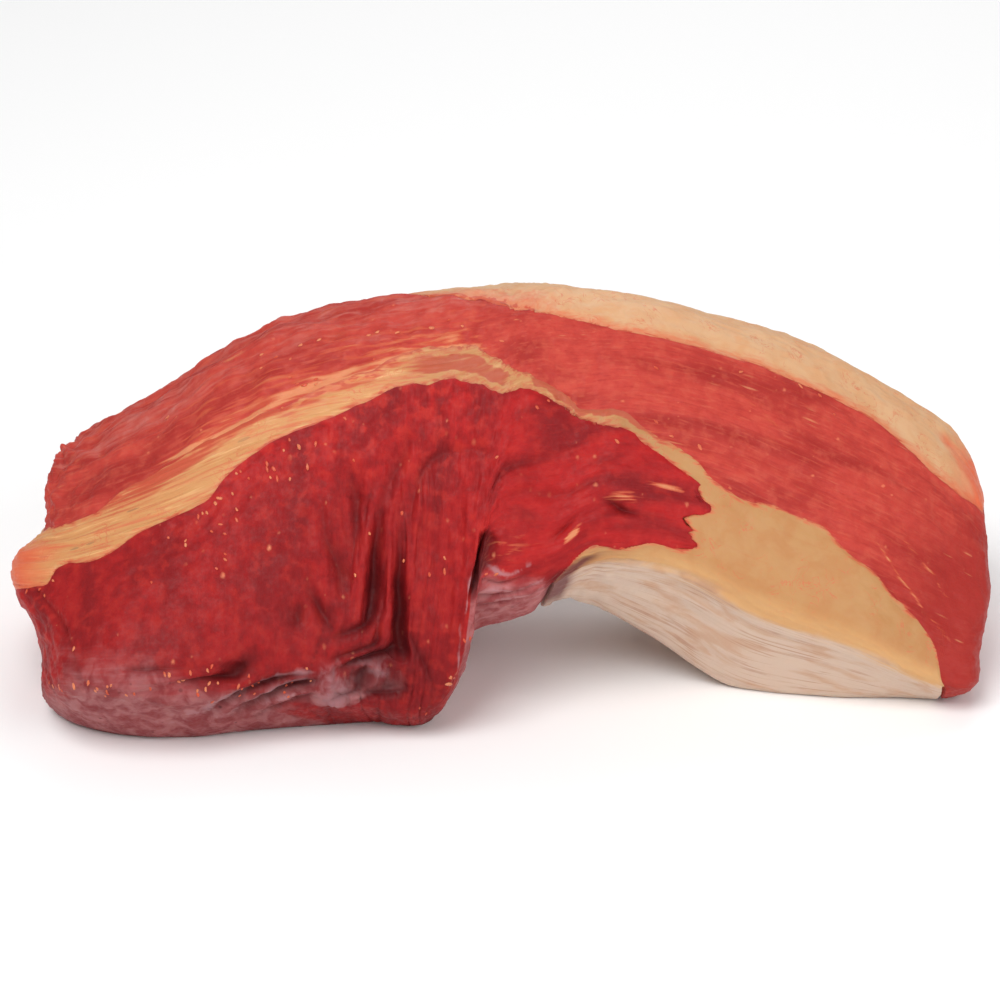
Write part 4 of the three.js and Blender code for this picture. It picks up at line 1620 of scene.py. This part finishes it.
    def bump(self, height: object, distance: float, strength: float, normal: object = None) -> Socket:
        """Turns a height into a bent normal.

        Args:
            height: the height or socket, from 0 to 1.
            distance: how high 1 stands, in mm.
            strength: how much of the bend is used.
            normal: a normal that is bent already.

        Returns:
            The normal.
        """
        node = self.tree.nodes.new("ShaderNodeBump")
        node.inputs["Distance"].default_value = distance * METRES
        node.inputs["Strength"].default_value = strength
        self.put(node.inputs["Height"], height)
        self.put(node.inputs["Normal"], normal)
        return node.outputs["Normal"]

    def finish(self, wet: "Wetness", base: object, gloss: object, normal: object) -> bpy.types.Material:
        """Adds the shader.

        Args:
            wet: the values that are the same all over the surface.
            base: the base colour.
            gloss: the roughness.
            normal: the bent normal.

        Returns:
            The finished material.
        """
        shader = self.tree.nodes.new("ShaderNodeBsdfPrincipled")
        self.put(shader.inputs["Base Color"], base)
        self.put(shader.inputs["Roughness"], gloss)
        self.put(shader.inputs["Normal"], normal)
        self.put(shader.inputs["Coat Normal"], normal)
        shader.inputs["Subsurface Weight"].default_value = wet.depth_share
        shader.inputs["Subsurface Radius"].default_value = wet.depth_colour
        shader.inputs["Subsurface Scale"].default_value = wet.depth * METRES
        shader.inputs["Specular IOR Level"].default_value = wet.shine
        shader.inputs["Coat Weight"].default_value = wet.coat
        shader.inputs["Coat Roughness"].default_value = wet.coat_roughness
        shader.inputs["Coat IOR"].default_value = WATER_IOR
        self.tree.links.new(shader.outputs[0], self.output.inputs["Surface"])
        return self.material


@dataclass(frozen=True)
class Wetness:
    """How far light goes into a surface, and how wet that surface is."""

    depth: float
    depth_share: float
    depth_colour: tuple[float, float, float]
    shine: float
    coat: float
    coat_roughness: float


Colour = tuple[float, float, float, float]


def colour(red: int, green: int, blue: int) -> Colour:
    """Turns a screen colour from 0 to 255 into the linear colour that shaders use.

    Args:
        red: its red, from 0 to 255.
        green: its green.
        blue: its blue.

    Returns:
        Red, green, blue and 1.
    """
    parts = [part / 255.0 for part in (red, green, blue)]
    linear = [p / 12.92 if p <= 0.04045 else ((p + 0.055) / 1.055) ** 2.4 for p in parts]
    return (*linear, 1.0)


@dataclass(frozen=True)
class LeanFinish:
    """Raw lean: wet red muscle with fibres, marbling, fat dabs that are partly painted glints, silverskin
    with partly painted highlights on its fold ridges, and painted shade in the creases.
    """

    name: str
    deep: Colour
    plain: Colour
    bright: Colour
    film: Colour
    film_deep: Colour
    mottle: float
    marbling: float
    dabs: float
    # strength of the small pits, painted as dots of shade
    pits: float
    film_reach: float
    tall: float
    wet: Wetness = Wetness(
        depth=1.4, depth_share=0.2, depth_colour=(1.0, 0.2, 0.1), shine=0.16, coat=0.04,
        coat_roughness=0.2,
    )
    fatty_lean: Colour = colour(192, 84, 58)
    fat: Colour = colour(212, 140, 98)
    # the small dabs: partly fat, partly painted wet glints
    fleck: Colour = colour(222, 130, 94)
    # the pale fold ridges: partly paler film, partly painted highlight
    ridge_film_and_sheen: Colour = colour(176, 124, 128)
    shade: Colour = colour(52, 6, 10)

    def fibres(self, graph: Graph, length: float, width: float, detail: float) -> Socket:
        """Reads fibres that run down the foot and along the rest, turned by the mesh's own mark.

        Args:
            graph: the material's nodes.
            length: a fibre's length, in mm.
            width: a fibre's width, in mm.
            detail: how many finer patterns are added.

        Returns:
            The pattern, from 0 to 1.
        """
        level = graph.noise(graph.grain(length, width, length * 0.4), detail, 0.3)
        down = graph.noise(graph.grain(width, length, length * 0.4), detail, 0.3)
        return graph.math("MULTIPLY_ADD", graph.mark("turn"), graph.math("SUBTRACT", level, down), down)

    def flesh(self, graph: Graph, fibre: Socket) -> Socket:
        """Colours the bare muscle: broad blotches, small mottling, then bright and dark fibres.

        Args:
            graph: the material's nodes.
            fibre: the fibres, from 0 to 1.

        Returns:
            The new colour.
        """
        blotch = self.fibres(graph, 30.0, 9.0, 3.0)
        base = graph.blend(graph.step(blotch, 0.3, 0.6), self.deep, self.plain)
        mottle = graph.noise(graph.space(3.6), 7.0, 0.2)
        strong = graph.step(graph.mark("turn"), 0.0, 1.0, self.mottle, 0.28)
        light = graph.times(graph.step(mottle, 0.48, 0.68), strong)
        dark = graph.times(graph.step(mottle, 0.52, 0.32), strong)
        base = graph.blend(light, base, self.bright)
        base = graph.blend(dark, base, self.deep)
        base = graph.blend(graph.step(fibre, 0.52, 0.78, 0.0, 0.8 - self.mottle), base, self.bright)
        base = graph.blend(graph.step(fibre, 0.48, 0.22, 0.0, 0.8 - self.mottle), base, self.deep)
        return graph.blend(graph.times(graph.mark("dark"), 0.85), base, self.deep)

    def fatty(self, graph: Graph, base: Socket) -> Socket:
        """Adds marbling, streaks by the seam and small dabs of fat colour that are partly fat and partly
        painted wet glints.

        Args:
            graph: the material's nodes.
            base: the colour so far.

        Returns:
            The new colour.
        """
        thread = self.fibres(graph, 9.0, 1.2, 4.0)
        by_seam = graph.math("ADD", graph.mark("fatty"), graph.step(thread, 0.3, 0.7, -0.3, 0.3))
        base = graph.blend(graph.step(by_seam, 0.3, 0.6, 0.0, 0.75), base, self.fatty_lean)
        base = graph.blend(graph.step(by_seam, 0.5, 0.95, 0.0, 0.8), base, self.fat)
        patch = graph.step(graph.noise(graph.grain(24.0, 9.0, 20.0), 2.0), 0.42, 0.58)
        streak = graph.dabs(graph.grain(8.0, 1.1, 4.0), 0.2, 0.36, 1.0)
        streak = graph.times(streak, patch, self.marbling)
        base = graph.blend(streak, base, self.fat)
        cluster = graph.step(graph.noise(graph.space(13.0), 2.0), 0.44, 0.6)
        # small dabs: partly fat, partly painted wet glints
        fat_dab_and_glint = graph.dabs(graph.space(2.6, self.tall), 0.24, 0.3, 1.0)
        fat_dab_and_glint = graph.times(fat_dab_and_glint, cluster, self.dabs)
        return graph.blend(fat_dab_and_glint, base, self.fleck)

    def covered(self, graph: Graph, base: Socket) -> Socket:
        """Lays the silverskin over it, ragged along the fibres, with pale fold ridges that are partly paler
        film and partly painted highlight, and small pits painted as dots of shade.

        Args:
            graph: the material's nodes.
            base: the colour so far.

        Returns:
            The new colour.
        """
        grain = graph.noise(graph.grain(8.0, 2.0, 2.4), 4.0, 0.6)
        edge = graph.math("ADD", graph.mark("film"), graph.step(grain, 0.25, 0.75, -4.0, 4.0))
        share = graph.step(edge, -1.0, self.film_reach, 0.0, 0.86)
        cloud = graph.noise(graph.space(4.6, 1.3), 6.0, 0.5)
        film = graph.blend(graph.step(cloud, 0.34, 0.68), self.film_deep, self.film)
        base = graph.blend(share, base, film)
        # pale fold ridges: partly paler film, partly painted highlight
        ridge_film_and_sheen = graph.math("ADD", graph.mark("pale"), graph.step(cloud, 0.3, 0.7, -0.25, 0.25))
        base = graph.blend(graph.step(ridge_film_and_sheen, 0.2, 0.8, 0.0, 0.8), base, self.ridge_film_and_sheen)
        # painted shade: small pits drawn only as dark dots of the shade colour
        pit_shade = graph.dabs(graph.space(3.4), 0.34, 0.22, 0.8)
        pit_shade = graph.times(pit_shade, share, self.pits)
        return graph.blend(pit_shade, base, self.shade)

    def material(self) -> bpy.types.Material:
        """Builds the finish.

        Returns:
            The material: the muscle, its fat and its film, then the shade in the creases.
        """
        graph = Graph(self.name)
        fibre = self.fibres(graph, 6.0, 0.8, 3.0)
        base = self.covered(graph, self.fatty(graph, self.flesh(graph, fibre)))
        # painted shade: the creases, the notch and the crevice are darkened in colour
        base = graph.blend(graph.times(graph.mark("painted_shade"), 0.82), base, self.shade)
        gloss = graph.step(graph.noise(graph.space(1.2), 3.0), 0.3, 0.7, 0.5, 0.72)
        normal = graph.bump(fibre, 0.22, 0.5)
        normal = graph.bump(graph.noise(graph.space(1.0), 3.0), 0.16, 0.6, normal)
        return graph.finish(self.wet, base, gloss, normal)


@dataclass(frozen=True)
class FatFinish:
    """Raw fat: waxy cream with warmer patches, fine veins, a pink blush, lean threads and pale film."""

    name: str
    pale: Colour
    warm: Colour
    streaky: float
    stain_reach: float
    cut: Colour = colour(206, 146, 92)
    cut_pale: Colour = colour(222, 172, 118)
    vein: Colour = colour(200, 106, 72)
    blush: Colour = colour(214, 96, 62)
    lean: Colour = colour(186, 74, 50)
    stain: Colour = colour(204, 102, 68)
    film: Colour = colour(206, 182, 164)
    film_line: Colour = colour(176, 136, 116)
    grey: Colour = colour(128, 92, 66)
    # painted light on the wedge's lower rim
    rim: Colour = colour(214, 166, 112)
    # colour of the painted shade in the crevice by the tongue
    crevice: Colour = colour(98, 34, 42)
    wet: Wetness = Wetness(
        depth=3.0, depth_share=0.3, depth_colour=(1.0, 0.55, 0.35), shine=0.3, coat=0.08,
        coat_roughness=0.3,
    )

    def plain(self, graph: Graph) -> Socket:
        """Colours the fat: warm patches, streaks along the arch where it is thin, and fine veins.

        Args:
            graph: the material's nodes.

        Returns:
            The new colour.
        """
        patch = graph.noise(graph.space(7.0), 5.0, 0.6)
        base = graph.blend(graph.step(patch, 0.36, 0.66, 0.0, 0.55), self.pale, self.warm)
        base = graph.blend(graph.times(graph.mark("thin"), self.streaky), base, self.cut)
        thread = graph.noise(graph.grain(12.0, 1.0, 5.0), 4.0, 0.6)
        thin = graph.times(graph.mark("thin"), self.streaky)
        streak = graph.times(graph.step(thread, 0.5, 0.68), thin)
        base = graph.blend(streak, base, self.vein)
        pale = graph.times(graph.step(thread, 0.46, 0.3), thin)
        base = graph.blend(pale, base, self.cut_pale)
        grey = graph.dabs(graph.grain(4.5, 1.1, 3.0), 0.1, 0.32)
        base = graph.blend(graph.times(grey, thin, 0.7), base, self.grey)
        vein = graph.noise(graph.space(5.5), 5.0, 1.4)
        line_share = graph.step(graph.math("ABSOLUTE", graph.math("SUBTRACT", vein, 0.5)), 0.018, 0.0)
        some = graph.step(graph.noise(graph.space(9.0), 2.0), 0.46, 0.6, 0.0, 0.8)
        return graph.blend(graph.times(line_share, some), base, self.vein)

    def stained(self, graph: Graph, base: Socket) -> Socket:
        """Reddens the fat by the lean, with threads of lean that run into it.

        Args:
            graph: the material's nodes.
            base: the colour so far.

        Returns:
            The new colour.
        """
        thread = graph.noise(graph.grain(4.0, 1.0, 4.0), 4.0, 0.8)
        away = graph.math("ADD", graph.mark("stain"), graph.step(thread, 0.3, 0.7, -0.8, 0.8))
        base = graph.blend(graph.step(away, self.stain_reach, 0.0, 0.0, 0.75), base, self.stain)
        base = graph.blend(graph.step(away, 0.25, -0.2, 0.0, 0.85), base, self.lean)
        base = graph.blend(graph.times(graph.mark("blush"), 0.9), base, self.blush)
        long = graph.noise(graph.grain(17.0, 1.2, 6.0), 4.0, 0.4)
        lean = graph.math("ADD", graph.mark("lean"), graph.step(long, 0.3, 0.7, -0.3, 0.3))
        return graph.blend(graph.step(lean, 0.2, 0.8, 0.0, 0.92), base, self.lean)

    def covered(self, graph: Graph, base: Socket) -> Socket:
        """Dulls the seam's middle and lightens the wedge's lower rim with painted light, then lays the
        belly's streaked film and the painted shade in the crevice.

        Args:
            graph: the material's nodes.
            base: the colour so far.

        Returns:
            The new colour.
        """
        streak = graph.noise(graph.grain(22.0, 30.0, 0.8), 4.0, 1.2)
        fade = graph.step(graph.noise(graph.space(11.0), 2.0), 0.35, 0.65, 0.15, 0.75)
        streak_share = graph.times(graph.step(streak, 0.5, 0.64), fade)
        film = graph.blend(streak_share, self.film, self.film_line)
        cloud = graph.noise(graph.grain(14.0, 20.0, 4.0), 4.0, 0.6)
        film = graph.blend(graph.step(cloud, 0.48, 0.68, 0.0, 0.4), film, self.warm)
        edge = graph.math("ADD", graph.mark("film"), graph.step(streak, 0.3, 0.7, -2.2, 2.2))
        base = graph.blend(graph.mark("dull"), base, self.grey)
        # painted light: lightens the wedge's lower rim
        base = graph.blend(graph.times(graph.mark("rim"), 0.7), base, self.rim)
        base = graph.blend(graph.step(edge, -2.0, 4.0, 0.0, 0.94), base, film)
        # painted shade in the crevice by the tongue
        return graph.blend(graph.times(graph.mark("dark"), 0.88), base, self.crevice)

    def material(self) -> bpy.types.Material:
        """Builds the finish.

        Returns:
            The material: the fat, what the lean does to it, and the film.
        """
        graph = Graph(self.name)
        base = self.covered(graph, self.stained(graph, self.plain(graph)))
        gloss = graph.step(graph.noise(graph.space(1.4), 3.0), 0.3, 0.7, 0.48, 0.68)
        normal = graph.bump(graph.noise(graph.space(5.0), 4.0, 0.4), 0.5, 0.4)
        normal = graph.bump(graph.noise(graph.space(1.1), 3.0), 0.12, 0.45, normal)
        return graph.finish(self.wet, base, gloss, normal)


@dataclass(frozen=True)
class FleckFinish:
    """The bits of fat on the lean: soft orange, and each a little paler or warmer than the next."""

    pale: Colour = colour(214, 124, 86)
    warm: Colour = colour(198, 78, 52)
    wet: Wetness = Wetness(
        depth=0.8, depth_share=0.3, depth_colour=(1.0, 0.5, 0.3), shine=0.2, coat=0.08,
        coat_roughness=0.2,
    )

    def material(self) -> bpy.types.Material:
        """Builds the finish.

        Returns:
            The material: a tint for each fleck, and a fine uneven skin.
        """
        graph = Graph("fleck_fat")
        base = graph.blend(graph.step(graph.mark("tint"), 0.2, 0.9), self.warm, self.pale)
        uneven = graph.noise(graph.space(0.7), 3.0)
        base = graph.blend(graph.step(uneven, 0.5, 0.75, 0.0, 0.5), base, self.warm)
        normal = graph.bump(uneven, 0.1, 0.5)
        gloss = graph.step(uneven, 0.3, 0.7, 0.28, 0.45)
        return graph.finish(self.wet, base, gloss, normal)


class Tone(Enum):
    """The finishes of the joint's layers, named for what they are."""

    CAP = FatFinish(
        "cap_fat", pale=colour(206, 162, 122), warm=colour(201, 144, 98), streaky=0.0,
        stain_reach=3.8,
    )
    SEAM = FatFinish(
        "seam_fat", pale=colour(184, 136, 87), warm=colour(179, 119, 70), streaky=0.75,
        stain_reach=1.4,
    )
    UPPER = LeanFinish(
        "upper_muscle", deep=colour(156, 42, 37), plain=colour(186, 64, 54),
        bright=colour(201, 93, 72), film=colour(192, 108, 98), film_deep=colour(186, 84, 74),
        mottle=0.28, marbling=0.6, dabs=0.6, pits=0.0, film_reach=8.0, tall=0.7,
    )
    LOWER = LeanFinish(
        "lower_muscle", deep=colour(126, 18, 22), plain=colour(168, 28, 29),
        bright=colour(187, 46, 38), film=colour(178, 114, 114), film_deep=colour(140, 62, 64),
        mottle=0.62, marbling=0.0, dabs=0.8, pits=0.7, film_reach=34.0, tall=1.6,
    )


@dataclass
class Brisket:
    """The whole joint: its four layers, each dressed in its own finish, and the bits on the lean."""

    cap: FatCap = field(
        default_factory=lambda: FatCap(
            "cap_surface", "fat_cap", stations=360, sides=(24, 10, 22, 92), rings=10,
            start=LINES.cap_start,
        )
    )
    upper: UpperLean = field(
        default_factory=lambda: UpperLean(
            "upper_surface", "upper_lean", stations=420, sides=(78, 10, 42, 66)
        )
    )
    seam: FatSeam = field(
        default_factory=lambda: FatSeam(
            "seam_surface", "fat_seam", stations=400, sides=(84, 72, 40, 10), end=LINES.seam_end
        )
    )
    lower: LowerLean = field(
        default_factory=lambda: LowerLean(
            "lower_surface", "lower_lean", stations=310, sides=(168, 48, 40, 10),
            end=LINES.tongue_end, dense=(0.31, 0.07, 1.6),
        )
    )
    flecks: FatFlecks = field(default_factory=FatFlecks)

    def build(self) -> list[bpy.types.Object]:
        """Makes every layer and gives it its finish.

        Returns:
            The pieces' objects.
        """
        layers = (self.cap, self.upper, self.seam, self.lower)
        pieces = []
        for layer, tone in zip(layers, (Tone.CAP, Tone.UPPER, Tone.SEAM, Tone.LOWER)):
            piece = layer.build()
            piece.data.materials.append(tone.value.material())
            pieces.append(piece)
        bits = self.flecks.build(((self.lower, 0.72, True), (self.upper, 0.28, False)))
        bits.data.materials.append(FleckFinish().material())
        pieces.append(bits)
        for piece in pieces:
            log.info("%s: %d faces", piece.name, len(piece.data.polygons))
        return pieces


@dataclass(frozen=True)
class Studio:
    """The pale floor, the soft lights and the camera at the photograph's viewing angle."""

    elevation: float = 25.0
    distance: float = 1000.0
    lens: float = 125.4
    sensor: float = 36.0
    target: tuple[float, float, float] = (0.0, 40.0, 55.7)
    floor_size: float = 6.0
    floor_tone: float = 0.96
    sky: float = 0.36
    lamps: tuple[tuple[str, tuple[float, float, float], float, float], ...] = (
        ("key", (-0.45, -0.75, 1.3), 0.9, 17.0),
        ("fill", (0.9, -1.0, 0.7), 1.0, 9.0),
        ("rim", (0.2, 1.0, 1.0), 0.8, 5.0),
    )

    def camera(self) -> None:
        """Stands the camera in front of the joint, looking down on it."""
        data = bpy.data.cameras.new("camera")
        data.lens = self.lens
        data.sensor_width = self.sensor
        data.clip_end = 20.0
        tilt = math.radians(self.elevation)
        look = Vector((0.0, math.cos(tilt), -math.sin(tilt)))
        target = Vector(np.array(self.target) - OFFSET) * METRES
        camera = bpy.data.objects.new("camera", data)
        camera.location = target - look * self.distance * METRES
        camera.rotation_euler = look.to_track_quat("-Z", "Y").to_euler()
        bpy.context.scene.collection.objects.link(camera)
        bpy.context.scene.camera = camera

    def floor(self) -> None:
        """Lays a plain pale floor under the joint."""
        half = self.floor_size / 2.0
        corners = [(-half, -half, 0.0), (half, -half, 0.0), (half, half, 0.0), (-half, half, 0.0)]
        mesh = bpy.data.meshes.new("floor")
        mesh.from_pydata(corners, [], [(0, 1, 2, 3)])
        material = bpy.data.materials.new("floor")
        material.use_nodes = True
        shader = material.node_tree.nodes["Principled BSDF"]
        shader.inputs["Base Color"].default_value = (self.floor_tone, self.floor_tone, self.floor_tone, 1.0)
        shader.inputs["Roughness"].default_value = 0.8
        shader.inputs["Specular IOR Level"].default_value = 0.2
        mesh.materials.append(material)
        floor = bpy.data.objects.new("floor", mesh)
        bpy.context.scene.collection.objects.link(floor)

    def lamp(self, name: str, place: tuple[float, float, float], size: float, power: float) -> None:
        """Hangs one soft lamp that points at the joint.

        Args:
            name: the lamp's name.
            place: where it hangs, in metres.
            size: the side of its square, in metres.
            power: its power in watts.
        """
        data = bpy.data.lights.new(name, "AREA")
        data.shape = "SQUARE"
        data.size = size
        data.energy = power
        lamp = bpy.data.objects.new(name, data)
        lamp.location = place
        aim = Vector((0.0, 0.0, 0.05)) - Vector(place)
        lamp.rotation_euler = aim.to_track_quat("-Z", "Y").to_euler()
        bpy.context.scene.collection.objects.link(lamp)

    def build(self) -> None:
        """Sets the whole studio up."""
        self.camera()
        self.floor()
        for lamp in self.lamps:
            self.lamp(*lamp)
        world = bpy.data.worlds.new("studio")
        bpy.context.scene.world = world
        world.use_nodes = True
        sky = world.node_tree.nodes["Background"]
        sky.inputs["Color"].default_value = (1.0, 1.0, 1.0, 1.0)
        sky.inputs["Strength"].default_value = self.sky
        bpy.context.scene.view_settings.view_transform = "Standard"


def main() -> None:
    """Builds the studio and the joint, and reports each piece."""
    logging.basicConfig(level=logging.INFO, format="%(name)s: %(message)s")
    Studio().build()
    pieces = Brisket().build()
    log.info("%d pieces", len(pieces))


if __name__ == "__main__":
    main()
